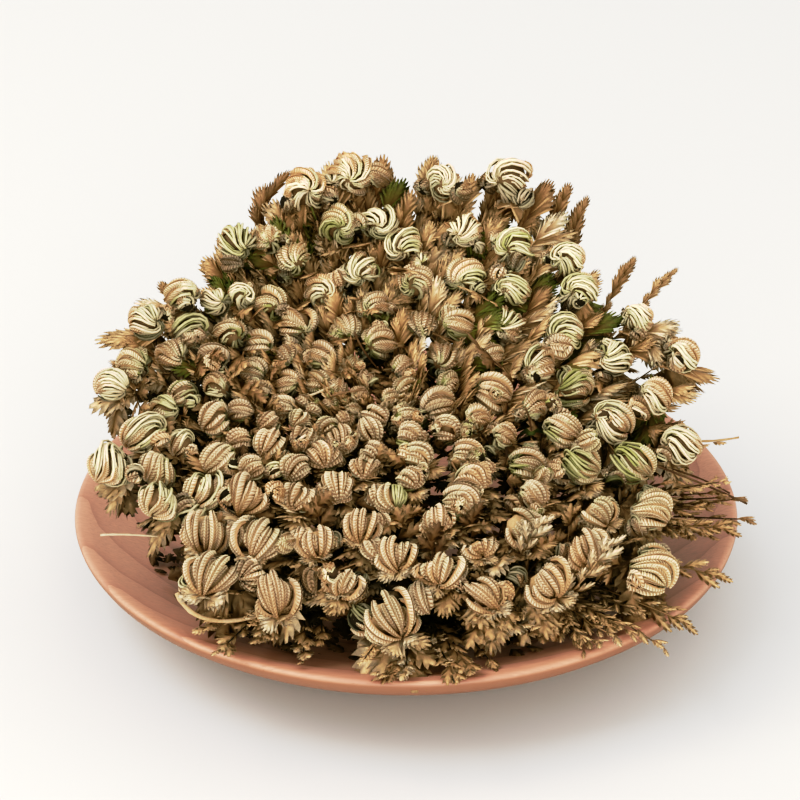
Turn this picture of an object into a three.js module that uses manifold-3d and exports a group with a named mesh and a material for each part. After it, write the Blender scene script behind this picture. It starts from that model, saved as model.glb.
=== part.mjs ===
// Rose of Jericho (Selaginella lepidophylla), half open, lying in a shallow turned wooden dish.
//
// Millimetres, +Z up, -Y is the front. The origin is the centre of the dish's foot, on the
// surface that the dish stands on. A squat root crown rests on the dish's floor. All fronds
// radiate from the crown, and each ends in curled, ribbed heads that face the plant's heart.
// The heads lie on a tilted bowl, low at the front and high at the back, in golden-angle order.
// A skirt of old, flat fronds fans out below them.

import * as THREE from "three";
import Module from "manifold-3d";

const wasm = await Module();
wasm.setup();

const { cos, sin, PI, sqrt, min, max, abs, hypot } = Math;
const vec = (x, y, z) => new THREE.Vector3(x, y, z);
const UP = vec(0, 0, 1);

// ---------------------------------------------------------------- driving dimensions

// The dish. Its profiles are radius and height pairs.
const DISH_RADIUS = 110;
const DISH_HEIGHT = 30;
const RIM_THICKNESS = 3;
const FOOT_RADIUS = 48;
const FLOOR_RADIUS = 40;
const FLOOR_HEIGHT = 8;
const DISH_SIDES = 48;
const DISH_OUTSIDE = [
  [FOOT_RADIUS, 0],
  [FOOT_RADIUS + 2, 3],
  [76, 8.5],
  [97, 17],
  [DISH_RADIUS - 1, 25.5],
  [DISH_RADIUS, DISH_HEIGHT - 1],
  [DISH_RADIUS - 1.2, DISH_HEIGHT],
  [DISH_RADIUS - RIM_THICKNESS, DISH_HEIGHT - 0.3],
];
const DISH_INSIDE_RADII = [93, 78, 60];

// The crown that every frond grows from.
const CROWN = vec(-8, 14, 25);
const CROWN_RADIUS = 16.5;
const CROWN_SIDES = 14;
const ROOTS = 7;
const TOUCH_GAP = 0.3;
const CROWN_BOTTOM = FLOOR_HEIGHT + TOUCH_GAP;
const CROWN_PROFILE = [
  [12, CROWN_BOTTOM],
  [14.5, CROWN_BOTTOM + 5],
  [15.5, CROWN.z],
  [14, CROWN.z + 7.5],
  [9, CROWN.z + 13],
];
const CROWN_TOP = CROWN.z + 15.8;
const CROWN_WAIST = 0.93;
const ROOT_REACH = 19;
const ROOT_REACH_DRAW = 5;
const ROOT_RADIUS = 2.6;
const ROOT_TIP_RADIUS = 0.9;

// The bowl of heads: its heart, and its outer rim as an ellipse whose height changes round it.
const HEART = vec(-22, -6, 66);
const RIM_CENTRE = vec(-2, -14, 81);
const RIM_HALF_WIDTH = 98;
const RIM_HALF_DEPTH = 84;
const RIM_BACK_RISE = 46;
const RIM_RIGHT_RISE = -9;
const RIM_ENDS_RISE = -4;
const BOWL_CURVE = 2.05;
const BOWL_CURVE_BACK = -0.35;

// Where the rim of heads falls short of the ellipse (or passes it, below 0): the azimuth of the
// middle, how far round it reaches, both in radians, and the share of the way out that is lost.
const DENTS = [
  { azimuth: 2.5, width: 0.36, loss: 0.22 },
  { azimuth: 1.6, width: 0.2, loss: 0.12 },
  { azimuth: 0.9, width: 0.2, loss: 0.12 },
  { azimuth: 3.36, width: 0.16, loss: 0.1 },
  { azimuth: 4.4, width: 0.35, loss: -0.05 },
  { azimuth: 5.0, width: 0.18, loss: 0.1 },
  { azimuth: 2.98, width: 0.16, loss: -0.05 },
  { azimuth: 5.6, width: 0.2, loss: -0.06 },
];

// The heads, in golden-angle order from the heart out.
const GOLDEN_ANGLE = PI * (3 - sqrt(5));
const HEART_HEADS = 13;
const INNER_ROWS = 13;
const INNER_ROW_HEADS = 3;
const OUTER_ROWS = 21;
const OUTER_ROW_HEADS = 4;
const HEADS = HEART_HEADS + INNER_ROWS * INNER_ROW_HEADS + OUTER_ROWS * OUTER_ROW_HEADS;
const SPREAD_POWER = 0.72;
const HEART_GAP = 1.8;
const HEAD_SHARE = 0.465;
const HEAD_JITTER = 1.0;
const FOCUS_HEIGHT = 120;

// The stems: where they leave the crown, how far up to the heads the bare stem ends, and what
// share the toothed blade adds before its tip.
const HEART_STEM_RADIUS = 0.7;
const STEM_START = CROWN_RADIUS + TOUCH_GAP + 0.4;
const STEM_SHARE = 0.5;
const BLADE_SHARE = 0.28;
const TIP_SETBACK = 1.5;
const ROOT_SINK = 0.3;
const INNER_BLADE_WIDTH = 3.2;
const OUTER_BLADE_WIDTH = 4.6;
const LEAST_HALF_WIDTH = 0.9;
const BLADE_HALF_THICKNESS = 0.8;

// The old, flat fronds: every other gap between the outermost heads has one below it.
const DRY_FRONDS = 11;
const DRY_OVERHANG = 14;
const DRY_FRONT_OVERHANG = 6;
const DRY_DROP = 10;
const DRY_SAG = 0.12;
const DRY_WIDTH = 6.5;
const DRY_STEPS = 8;
const DRY_HALF_THICKNESS = 0.6;
const LOWEST_TIP = DISH_HEIGHT - 4;
const RIM_REACH = 8;
const RIM_CLEARANCE = 2.4;

// The forks of an old frond: where each leaves the spine, and to which side.
const FORKS = [
  { root: 0.36, side: 1 },
  { root: 0.45, side: -1 },
  { root: 0.56, side: 1 },
  { root: 0.66, side: -1 },
];
const FORK_STEPS = 3;
const FORK_LENGTH = 0.8;
const FORK_SPREAD = 4;
const FORK_SPREAD_DRAW = 12;

// Joined solids lose slivers finer than this.
const FINEST_DETAIL = 0.1;

// ---------------------------------------------------------------- helpers

// A repeatable draw between 0 and 1 for the n-th piece and its k-th choice.
function draw(n, k) {
  const wave = sin(n * 12.9898 + k * 78.233) * 43758.5453;
  return wave - Math.floor(wave);
}

// A closed solid from a flat list of points and of corner numbers.
function solid(points, corners) {
  const vertProperties = new Float32Array(points.flatMap((p) => [p.x, p.y, p.z]));
  return new wasm.Manifold(
    new wasm.Mesh({ numProp: 3, vertProperties, triVerts: new Uint32Array(corners) }),
  );
}

// A skin over rings of equally many points, closed to a point or a flat end at both ends.
function skin(rings) {
  const sides = rings.find((ring) => ring.length > 1).length;
  const points = [];
  const corners = [];
  const starts = rings.map((ring) => points.push(...ring) - ring.length);
  const at = (r, s) => starts[r] + (rings[r].length > 1 ? (s + sides) % sides : 0);
  for (let r = 0; r + 1 < rings.length; r += 1) {
    for (let s = 0; s < sides; s += 1) {
      if (rings[r].length > 1) corners.push(at(r, s), at(r, s + 1), at(r + 1, s + 1));
      if (rings[r + 1].length > 1) corners.push(at(r, s), at(r + 1, s + 1), at(r + 1, s));
    }
  }
  const last = rings.length - 1;
  for (let s = 1; s + 1 < sides; s += 1) {
    if (rings[0].length > 1) corners.push(at(0, 0), at(0, s + 1), at(0, s));
    if (rings[last].length > 1) corners.push(at(last, 0), at(last, s), at(last, s + 1));
  }
  return solid(points, corners);
}

// One closed body from overlapping solids: hollows that joining seals are filled, scraps dropped.
function fuse(solids) {
  const shells = wasm.Manifold.union(solids).simplify(FINEST_DETAIL).decompose();
  return shells.reduce((best, shell) => (shell.volume() > best.volume() ? shell : best));
}

// A mesh for one named piece, from its joined solid.
function piece(name, body, colour, roughness) {
  const mesh = body.getMesh();
  const geometry = new THREE.BufferGeometry();
  geometry.setAttribute("position", new THREE.BufferAttribute(mesh.vertProperties, 3));
  geometry.setIndex(new THREE.BufferAttribute(mesh.triVerts, 1));
  geometry.computeVertexNormals();
  const finish = new THREE.MeshStandardMaterial({ color: colour, roughness, metalness: 0 });
  const made = new THREE.Mesh(geometry, finish);
  made.name = name;
  return made;
}

const numbered = (name, index) => `${name}_${String(index + 1).padStart(2, "0")}`;

// ---------------------------------------------------------------- where the heads lie

// The bowl's point at a share of the way out (0 heart, 1 rim) and an azimuth (0 is +X).
function bowlPoint(share, azimuth) {
  const c = cos(azimuth);
  const s = sin(azimuth);
  const edgeX = RIM_CENTRE.x + RIM_HALF_WIDTH * c;
  const edgeY = RIM_CENTRE.y + RIM_HALF_DEPTH * s;
  const edgeZ =
    RIM_CENTRE.z + RIM_BACK_RISE * s + RIM_RIGHT_RISE * c + RIM_ENDS_RISE * (c * c - s * s);
  const climb = share ** (BOWL_CURVE + BOWL_CURVE_BACK * s);
  return vec(
    HEART.x + (edgeX - HEART.x) * share,
    HEART.y + (edgeY - HEART.y) * share,
    HEART.z + (edgeZ - HEART.z) * climb,
  );
}

// The share of the way out at which the heads end at an azimuth: 1 but for the dents.
function rimReach(azimuth) {
  return DENTS.reduce((reach, dent) => {
    const turned = (azimuth - dent.azimuth) / 2;
    return reach - dent.loss * Math.exp(-((2 * sin(turned)) ** 2) / dent.width ** 2);
  }, 1);
}

// Each head's centre, its radius, and its axes: out along its stem, in to the heart, and across.
function headPlaces() {
  const centres = Array.from({ length: HEADS }, (_, n) => {
    const share = ((n + HEART_GAP) / (HEADS - 1 + HEART_GAP)) ** SPREAD_POWER;
    const azimuth = n * GOLDEN_ANGLE;
    const point = bowlPoint(share * (1 - (1 - rimReach(azimuth)) * share), azimuth);
    const shift = vec(draw(n, 1) - 0.5, draw(n, 2) - 0.5, draw(n, 3) - 0.5);
    return point.addScaledVector(shift, 2 * HEAD_JITTER * (0.5 + share));
  });
  const focus = HEART.clone().addScaledVector(UP, FOCUS_HEIGHT);
  return centres.map((centre, n) => {
    const nearest = min(...centres.filter((c) => c !== centre).map((c) => c.distanceTo(centre)));
    const out = centre.clone().sub(CROWN).normalize();
    const inward = focus.clone().sub(centre);
    inward.addScaledVector(out, -inward.dot(out)).normalize();
    const across = out.clone().cross(inward);
    return { n, centre, radius: HEAD_SHARE * nearest, out, inward, across };
  });
}

// ---------------------------------------------------------------- a curled head

// A ball of ribs: they rise from the outer base, run over the back and turn in at the navel.
const HEAD_ROWS = [
  { reach: 0.66, along: -0.68 },
  { reach: 1.0, along: 0.02 },
  { reach: 0.68, along: 0.7 },
];
const NAVEL_DEPTH = 0.42;
const RIB_DEPTH = 0.2;
const RIB_TWIST = 0.9;

function curledHead(head, ribs, root, rootRadius = 0) {
  const risen = head.centre.clone().sub(root).normalize();
  const axis = risen.multiplyScalar(0.65).addScaledVector(head.inward, 0.76).normalize();
  const side = head.across.clone().addScaledVector(axis, -axis.dot(head.across)).normalize();
  const rise = axis.clone().cross(side);
  const turn = draw(head.n, 4) * 2 * PI;
  const twist = RIB_TWIST * (draw(head.n, 5) < 0.5 ? -1 : 1);
  const sides = 2 * ribs;
  const ring = (centre, radius, along, ribDepth) =>
    Array.from({ length: sides }, (_, s) => {
      const angle = turn + (s * 2 * PI) / sides + twist * along;
      const spread = radius * (s % 2 ? 1 - ribDepth : 1);
      return centre
        .clone()
        .addScaledVector(side, cos(angle) * spread)
        .addScaledVector(rise, sin(angle) * spread);
    });
  const rows = HEAD_ROWS.map(({ reach, along }) => {
    const middle = head.centre.clone().addScaledVector(axis, along * head.radius);
    return ring(middle, reach * head.radius, along, RIB_DEPTH);
  });
  const foot = rootRadius > 0 ? ring(root, rootRadius, HEAD_ROWS[0].along, 0) : [root];
  const navel = head.centre.clone().addScaledVector(axis, NAVEL_DEPTH * head.radius);
  return skin([foot, ...rows, [navel]]);
}

// ---------------------------------------------------------------- stems and blades

// A blade along a path: a lens in section, t thick to either side, whose half-width steps out
// at each leaflet.
function blade(path, faces, halfWidth, t) {
  const rings = path.map((point, i) => {
    const before = path[max(i - 1, 0)];
    const after = path[min(i + 1, path.length - 1)];
    const along = after.clone().sub(before).normalize();
    const across = along.clone().cross(faces[i]).normalize();
    const normal = across.clone().cross(along);
    const w = halfWidth(i);
    return [
      point.clone().addScaledVector(across, -w),
      point.clone().addScaledVector(normal, t),
      point.clone().addScaledVector(across, w),
      point.clone().addScaledVector(normal, -t),
    ];
  });
  return skin(rings);
}

// A stalk of three sides from one point to another.
function stalk(from, to, rootRadius, tipRadius) {
  const along = to.clone().sub(from).normalize();
  const side = (abs(along.z) < 0.9 ? UP.clone() : vec(1, 0, 0)).cross(along).normalize();
  const rise = along.clone().cross(side);
  const ring = (point, radius) =>
    [0, 1, 2].map((k) =>
      point
        .clone()
        .addScaledVector(side, cos((k * 2 * PI) / 3) * radius)
        .addScaledVector(rise, sin((k * 2 * PI) / 3) * radius),
    );
  return skin([ring(from, rootRadius), ring(to, tipRadius)]);
}

// The point at a distance from the crown in the direction of a place along a row of heads.
function rowPoint(row, place, reach) {
  const k = min(Math.floor(place), row.length - 2);
  const direction = row[k].out.clone().lerp(row[k + 1].out, place - k).normalize();
  const inward = row[k].inward.clone().lerp(row[k + 1].inward, place - k).normalize();
  const from = CROWN.distanceTo(row[k].centre);
  const to = CROWN.distanceTo(row[k + 1].centre);
  const surface = from + (to - from) * (place - k);
  return { point: CROWN.clone().addScaledVector(direction, reach(surface)), inward };
}

// A frond with several heads: its stem leaves the crown, arches out below its heads, and
// carries a toothed blade. Each head rises from the station of the path nearest to it.
function rowFrond(row, ribs, bladeWidth, stemSteps) {
  const ends = row.length - 1;
  const last = row[ends];
  const steps = stemSteps + 2 * ends;
  const lastReach = CROWN.distanceTo(last.centre) - TIP_SETBACK * last.radius;
  const stations = Array.from({ length: steps + 1 }, (_, i) => {
    const past = max(0, i - stemSteps) / (2 * ends);
    const share = STEM_SHARE * min(1, i / stemSteps) + BLADE_SHARE * past;
    return rowPoint(row, ends * past, (surface) =>
      i === steps ? lastReach : STEM_START + (surface - STEM_START) * share,
    );
  });
  const path = stations.map(({ point }) => point);
  const width = (i) => {
    const swell = 0.15 + 0.85 * sin(PI * min(1, (i / steps) * 1.05));
    return max(LEAST_HALF_WIDTH, bladeWidth * swell * (i % 2 ? 0.5 : 1));
  };
  const body = [blade(path, stations.map(({ inward }) => inward), width, BLADE_HALF_THICKNESS)];
  row.forEach((head, k) => {
    const root = path.reduce((best, p) =>
      p.distanceTo(head.centre) < best.distanceTo(head.centre) ? p : best,
    );
    body.push(curledHead(head, ribs(k), root.clone().addScaledVector(head.out, -ROOT_SINK)));
  });
  return fuse(body);
}

// A young frond at the heart: one small head on a straight stem.
function heartFrond(head) {
  return curledHead(head, 4, CROWN.clone().addScaledVector(head.out, STEM_START), HEART_STEM_RADIUS);
}

// A point lifted clear of the dish's upper face, its rim, and the air above the table round it.
function clearOfDish(point) {
  const radius = hypot(point.x, point.y);
  const rim = abs(radius - DISH_RADIUS) < RIM_REACH ? DISH_HEIGHT + RIM_CLEARANCE : 0;
  const floor = radius < DISH_RADIUS ? max(rim, dishFace(radius) + RIM_CLEARANCE) : rim;
  return vec(point.x, point.y, max(point.z, floor));
}

// One flat, toothed leaf of an old frond, along pointAt(t) for t from 0 to 1.
function dryLeaf(pointAt, steps, width) {
  const path = Array.from({ length: steps + 1 }, (_, i) => clearOfDish(pointAt(i / steps)));
  const focus = HEART.clone().addScaledVector(UP, FOCUS_HEIGHT);
  const faces = path.map((point) => focus.clone().sub(point).normalize());
  const widen = (i) => {
    const swell = 0.2 + 0.8 * sin(PI * min(1, 0.15 + (0.85 * i) / steps));
    return max(LEAST_HALF_WIDTH, width * swell * (i % 2 ? 1 : 0.45));
  };
  return blade(path, faces, widen, DRY_HALF_THICKNESS);
}

// An old frond: flat, toothed and forked, it leaves the crown low down, passes below the gap
// between two outermost heads and stands up behind them, or hangs over the rim at the front.
function dryFrond(k, azimuth) {
  const outward = vec(cos(azimuth), sin(azimuth), 0);
  const front = max(0, -sin(azimuth)) ** 2;
  const end = bowlPoint(min(1, rimReach(azimuth)), azimuth);
  end.addScaledVector(outward, DRY_OVERHANG + DRY_FRONT_OVERHANG * front);
  end.z = max(end.z - DRY_DROP, LOWEST_TIP);
  const heading = end.clone().sub(CROWN);
  const flat = vec(heading.x, heading.y, 0).normalize();
  const climb = 0.3 * Math.atan2(heading.z, hypot(heading.x, heading.y));
  const start = CROWN.clone()
    .addScaledVector(flat, STEM_START * cos(climb))
    .addScaledVector(UP, STEM_START * sin(climb));
  const bend = start.clone().lerp(end, 0.45).addScaledVector(UP, -DRY_SAG * heading.z);
  const spine = new THREE.QuadraticBezierCurve3(start, bend, end);
  const across = flat.clone().cross(UP);
  const forks = FORKS.map(({ root, side }, f) => {
    const spread = side * (FORK_SPREAD + FORK_SPREAD_DRAW * draw(k, 50 + f));
    const pointAt = (t) =>
      spine.getPoint(root + (1 - root) * FORK_LENGTH * t).addScaledVector(across, spread * t);
    return dryLeaf(pointAt, FORK_STEPS, 0.5 * DRY_WIDTH);
  });
  return fuse([dryLeaf((t) => spine.getPoint(t), DRY_STEPS, DRY_WIDTH), ...forks]);
}

// ---------------------------------------------------------------- the dish and the crown

// The height of the dish's upper face at a radius.
function dishFace(radius) {
  const t = max(0, (radius - FLOOR_RADIUS) / (DISH_RADIUS - RIM_THICKNESS - FLOOR_RADIUS));
  return FLOOR_HEIGHT + (DISH_HEIGHT - FLOOR_HEIGHT) * (0.62 * t + 0.38 * t * t);
}

// A solid turned about a vertical line through the centre: rings at each radius and height
// pair, closed to points at the bottom and the top. Odd corners are drawn in to the waist.
function turned(centre, bottom, profile, top, sides, waist) {
  const rings = profile.map(([radius, height]) =>
    Array.from({ length: sides }, (_, s) => {
      const angle = (s * 2 * PI) / sides;
      const reach = radius * (s % 2 ? waist : 1);
      return vec(centre.x + reach * cos(angle), centre.y + reach * sin(angle), height);
    }),
  );
  return skin([[vec(centre.x, centre.y, bottom)], ...rings, [vec(centre.x, centre.y, top)]]);
}

function woodenDish() {
  const inside = DISH_INSIDE_RADII.map((radius) => [radius, dishFace(radius)]);
  const profile = [...DISH_OUTSIDE, ...inside, [FLOOR_RADIUS, FLOOR_HEIGHT]];
  return turned(vec(0, 0, 0), 0, profile, FLOOR_HEIGHT, DISH_SIDES, 1);
}

function rootCrown() {
  const roots = Array.from({ length: ROOTS }, (_, k) => {
    const angle = (k * 2 * PI) / ROOTS + 0.4 * draw(k, 40);
    const reach = ROOT_REACH + ROOT_REACH_DRAW * draw(k, 41);
    const at = (radius, height) =>
      vec(CROWN.x + radius * cos(angle), CROWN.y + radius * sin(angle), CROWN_BOTTOM + height);
    return stalk(at(0.5 * CROWN_RADIUS, 4), at(reach, 1.2), ROOT_RADIUS, ROOT_TIP_RADIUS);
  });
  const stock = turned(CROWN, CROWN_BOTTOM, CROWN_PROFILE, CROWN_TOP, CROWN_SIDES, CROWN_WAIST);
  return fuse([stock, ...roots]);
}

// ---------------------------------------------------------------- the object

const rose = new THREE.Group();
rose.add(piece("wooden_dish", woodenDish(), 0xb07d5c, 0.55));
rose.add(piece("root_crown", rootCrown(), 0x4a3422, 0.9));

// The heads of row r, where a ring of rows starts at head first and each has count heads.
const heads = headPlaces();
const rowOf = (first, rows, count, r) =>
  Array.from({ length: count }, (_, k) => heads[first + r + k * rows]);

for (let n = 0; n < HEART_HEADS; n += 1) {
  rose.add(piece(numbered("heart_frond", n), heartFrond(heads[n]), 0x9a9255, 0.8));
}
for (let r = 0; r < INNER_ROWS; r += 1) {
  const row = rowOf(HEART_HEADS, INNER_ROWS, INNER_ROW_HEADS, r);
  const frond = rowFrond(row, () => 4, INNER_BLADE_WIDTH, 1);
  rose.add(piece(numbered("inner_frond", r), frond, 0xb0a468, 0.8));
}
for (let r = 0; r < OUTER_ROWS; r += 1) {
  const row = rowOf(HEADS - OUTER_ROWS * OUTER_ROW_HEADS, OUTER_ROWS, OUTER_ROW_HEADS, r);
  const frond = rowFrond(row, (k) => (k > 1 ? 5 : 4), OUTER_BLADE_WIDTH, 2);
  rose.add(piece(numbered("outer_frond", r), frond, 0xc2b482, 0.8));
}

const azimuths = Array.from({ length: OUTER_ROWS }, (_, r) => (HEADS - 1 - r) * GOLDEN_ANGLE)
  .map((azimuth) => azimuth % (2 * PI))
  .sort((a, b) => a - b);
for (let k = 0; k < DRY_FRONDS; k += 1) {
  const gap = Math.round((k * OUTER_ROWS) / DRY_FRONDS) % OUTER_ROWS;
  const next = gap + 1 < OUTER_ROWS ? azimuths[gap + 1] : azimuths[0] + 2 * PI;
  const frond = dryFrond(k, (azimuths[gap] + next) / 2);
  rose.add(piece(numbered("dry_frond", k), frond, 0xa3835c, 0.85));
}

export default rose;
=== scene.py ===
# %% [markdown]
# # A rose of Jericho in a turned wooden dish
# The plant is a resurrection plant: a rosette of scaly fronds that roll up when they dry.
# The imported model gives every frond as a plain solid. This lesson dresses each of them with the
# finer forms that the real plant has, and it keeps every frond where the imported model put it.
# Lengths below are in millimetres, and become metres when a mesh is made.

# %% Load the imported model
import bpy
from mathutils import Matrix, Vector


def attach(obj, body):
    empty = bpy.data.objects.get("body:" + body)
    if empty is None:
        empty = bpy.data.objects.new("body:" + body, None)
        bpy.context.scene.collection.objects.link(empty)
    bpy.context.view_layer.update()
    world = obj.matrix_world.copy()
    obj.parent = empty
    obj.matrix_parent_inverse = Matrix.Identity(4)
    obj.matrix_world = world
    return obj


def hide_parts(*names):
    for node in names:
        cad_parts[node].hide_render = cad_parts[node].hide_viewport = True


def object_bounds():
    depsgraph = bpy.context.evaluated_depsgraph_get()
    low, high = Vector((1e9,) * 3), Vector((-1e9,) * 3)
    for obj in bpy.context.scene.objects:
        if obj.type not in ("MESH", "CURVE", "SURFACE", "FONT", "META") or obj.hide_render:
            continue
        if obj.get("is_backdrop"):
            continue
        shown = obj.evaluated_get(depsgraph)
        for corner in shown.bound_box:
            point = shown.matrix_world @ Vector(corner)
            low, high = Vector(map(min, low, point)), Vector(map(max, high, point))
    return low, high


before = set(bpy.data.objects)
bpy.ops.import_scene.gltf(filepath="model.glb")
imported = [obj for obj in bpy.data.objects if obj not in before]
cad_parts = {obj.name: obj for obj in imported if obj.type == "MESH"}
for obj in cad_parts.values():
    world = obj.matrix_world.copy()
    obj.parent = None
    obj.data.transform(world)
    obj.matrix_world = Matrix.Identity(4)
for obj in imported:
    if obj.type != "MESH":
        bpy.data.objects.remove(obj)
CAD_LOW, CAD_HIGH = (list(corner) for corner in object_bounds())

import math
import bpy
import numpy as np
from mathutils import Vector
from types import SimpleNamespace

MM = 0.001
PI = math.pi
print("packed nodes:", len(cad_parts))


# %% Small tools for arrays
def unit(v):
    """Vectors of length one: each divided by its own length."""
    return v / np.maximum(np.linalg.norm(v, axis=-1, keepdims=True), 1e-9)


def ease(t):
    """A smooth step from 0 to 1: three t squared less two t cubed, held beyond both ends."""
    t = np.clip(t, 0.0, 1.0)
    return t * t * (3.0 - 2.0 * t)


def col(v):
    """An array with one more axis at its end, so that it scales vectors or whole rows."""
    return np.asarray(v)[..., None]


def part_along(v, axis):
    """The part of each vector that lies along a unit vector: their dot product times it."""
    return np.sum(v * axis, -1, keepdims=True) * axis


def draw(n, k):
    """A repeatable draw from 0 to 1 for the n-th thing and its k-th choice: what is left after
    the point of a large multiple of a sine."""
    wave = np.sin(np.asarray(n, float) * 12.9898 + np.asarray(k, float) * 78.233) * 43758.5453
    return wave - np.floor(wave)


def vary(n, k, size):
    """A draw that goes up to half the size either way."""
    return (draw(n, k) - 0.5) * size


def scatter(n, k, size):
    """A vector for each n, each part a draw up to half the size either way."""
    return np.stack([vary(n, k + j, size) for j in range(3)], -1)


# %% [markdown]
# ## Where the heads lie
# The fronds end in curled heads. They fill a tilted bowl in golden-angle order, as seeds fill a
# sunflower, so the same few lines place all 136 of them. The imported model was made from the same
# lines, so the finer heads land exactly on its plain ones.

# %% The bowl of heads
CROWN = np.array([-8.0, 14.0, 25.0])
STEM_START = 17.2
HEART = np.array([-22.0, -6.0, 66.0])
RIM_CENTRE = np.array([-2.0, -14.0, 81.0])
# Each dent in the rim has an azimuth, a width in radians and a depth; a rise has a depth below 0.
DENTS = np.array([
    (2.5, 0.36, 0.22), (1.6, 0.2, 0.12), (0.9, 0.2, 0.12), (3.36, 0.16, 0.1),
    (4.4, 0.35, -0.05), (5.0, 0.18, 0.1), (2.98, 0.16, -0.05), (5.6, 0.2, -0.06),
])
GOLDEN_ANGLE = PI * (3.0 - math.sqrt(5.0))
HEADS = 136
FOCUS = HEART + np.array([0.0, 0.0, 120.0])
DOWN, UPWARD = np.array([0.0, 0.0, -1.0]), np.array([0.0, 0.0, 1.0])


def bowl_point(share, azimuth):
    """The bowl at a share of the way out and an azimuth: on a straight line from the heart to
    the tilted elliptic rim, and climbing to it as a power of the share."""
    c, s = np.cos(azimuth), np.sin(azimuth)
    edge = RIM_CENTRE + np.stack([98 * c, 84 * s, 46 * s - 9 * c - 4 * (c * c - s * s)], -1)
    climb = share ** (2.05 - 0.35 * s)
    return HEART + (edge - HEART) * np.stack([share, share, climb], -1)


def rim_reach(azimuth):
    """The share at which the heads end: one, less a bell-shaped loss at each dent."""
    turned = 2.0 * np.sin((col(azimuth) - DENTS[:, 0]) / 2.0)
    return 1.0 - np.sum(DENTS[:, 2] * np.exp(-(turned**2) / DENTS[:, 1] ** 2), -1)


n = np.arange(HEADS)
SHARE = ((n + 1.8) / (HEADS - 1 + 1.8)) ** 0.72
AZIMUTH = n * GOLDEN_ANGLE
CENTRE = bowl_point(SHARE * (1 - (1 - rim_reach(AZIMUTH)) * SHARE), AZIMUTH)
CENTRE = CENTRE + scatter(n, 1, 2.0) * col(0.5 + SHARE)
between = np.linalg.norm(CENTRE[:, None] - CENTRE[None], axis=-1) + 1e3 * np.eye(HEADS)
RADIUS = 0.465 * between.min(1)
OUT = unit(CENTRE - CROWN)
INWARD = unit((FOCUS - CENTRE) - part_along(FOCUS - CENTRE, OUT))
ACROSS = np.cross(OUT, INWARD)
print(f"head radii {RADIUS.min():.1f} to {RADIUS.max():.1f} mm")

# %% Which heads belong to which frond
NODES = [f"{kind}_frond_{i + 1:02d}"
         for kind, many in (("heart", 13), ("inner", 13), ("outer", 21), ("dry", 11)) for i in range(many)]
ROWS = [[i] for i in range(13)]
ROWS += [[13 + r + 13 * k for k in range(3)] for r in range(13)]
ROWS += [[52 + r + 21 * k for k in range(4)] for r in range(21)]
NODE_OF_HEAD = np.zeros(HEADS, int)
for number, row in enumerate(ROWS):
    NODE_OF_HEAD[row] = number
print("fronds with heads:", len(ROWS), " old flat fronds:", len(NODES) - len(ROWS))

# %% [markdown]
# ## Camera, light and floor
# A small studio: a pale floor that runs back under the horizon of the view, one broad lamp high
# on the left and a weak one in front. The key is broad enough for soft shadows, yet small enough
# to leave the gaps between the heads dark. A tone curve in the view hardens the contrast, and a
# second one takes blue out of the darks, as a warm print would.

# %% Camera and view
CAMERA_ELEVATION = math.radians(27.8)
CAMERA_DISTANCE = 0.783
CAMERA_TARGET = np.array([-0.002, 0.0, 0.0662])
BLUE, ALL_CHANNELS = 2, 3
VIEW_CURVES = {
    ALL_CHANNELS: ((0.026, 0.010), (0.1, 0.072), (0.19, 0.165), (0.35, 0.40), (0.55, 0.66), (0.87, 0.87)),
    BLUE: ((0.007, 0.0025), (0.03, 0.021), (0.065, 0.055), (0.15, 0.139), (0.3, 0.292), (0.6, 0.6)),
}
camera_data = bpy.data.cameras.new("studio_camera")
camera_data.lens = 107.7
camera_data.sensor_width = 36.0
camera_data.clip_start, camera_data.clip_end = 0.05, 30.0
camera = bpy.data.objects.new("studio_camera", camera_data)
bpy.context.scene.collection.objects.link(camera)
away = np.array([0.0, -math.cos(CAMERA_ELEVATION), math.sin(CAMERA_ELEVATION)])
camera.location = CAMERA_TARGET + CAMERA_DISTANCE * away
camera.rotation_euler = (PI / 2 - CAMERA_ELEVATION, 0.0, 0.0)
bpy.context.scene.camera = camera
view = bpy.context.scene.view_settings
view.view_transform = "Standard"
view.use_curve_mapping = True
for channel, places in VIEW_CURVES.items():
    for shown, wanted in places:
        view.curve_mapping.curves[channel].points.new(shown, wanted)
view.curve_mapping.update()
print("camera at", [round(v, 3) for v in camera.location])


# %% Lamps
def lamp(name, place, aim, size, power, colour):
    """A square area lamp at a place that faces an aim point."""
    data = bpy.data.lights.new(name, "AREA")
    data.shape, data.size, data.energy, data.color = "SQUARE", size, power, colour
    made = bpy.data.objects.new(name, data)
    made.location = place
    made.rotation_mode = "QUATERNION"
    made.rotation_quaternion = (Vector(aim) - Vector(place)).to_track_quat("-Z", "Y")
    bpy.context.scene.collection.objects.link(made)


lamp("key_lamp", (-1.6, -0.2, 2.3), (0.0, 0.0, 0.05), 1.9, 46.0, (1.0, 0.985, 0.965))
lamp("front_lamp", (0.2, -2.2, 0.7), (0.0, 0.0, 0.0), 1.6, 32.0, (1.0, 0.99, 0.98))
world = bpy.data.worlds.new("studio_air")
bpy.context.scene.world = world
world.use_nodes = True
world.node_tree.nodes["Background"].inputs["Color"].default_value = (1.0, 0.995, 0.985, 1.0)
world.node_tree.nodes["Background"].inputs["Strength"].default_value = 0.9
print("lamps: broad key on the left, weak one in front")


# %% [markdown]
# ## Finishes
# The finishes share three effects, each a node group with named sockets. The first gives a leaf
# its colour from its age, and tints its creases. The second gives fine relief that runs with the
# leaf. The third is wood grain. The shader itself stays in each material.

# %% Node tools
def colour(r, g, b):
    """A display colour from 0 to 255 as linear light, with full alpha."""
    v = np.array([r, g, b]) / 255.0
    return tuple(np.where(v <= 0.04045, v / 12.92, ((v + 0.055) / 1.055) ** 2.4)) + (1.0,)


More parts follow.
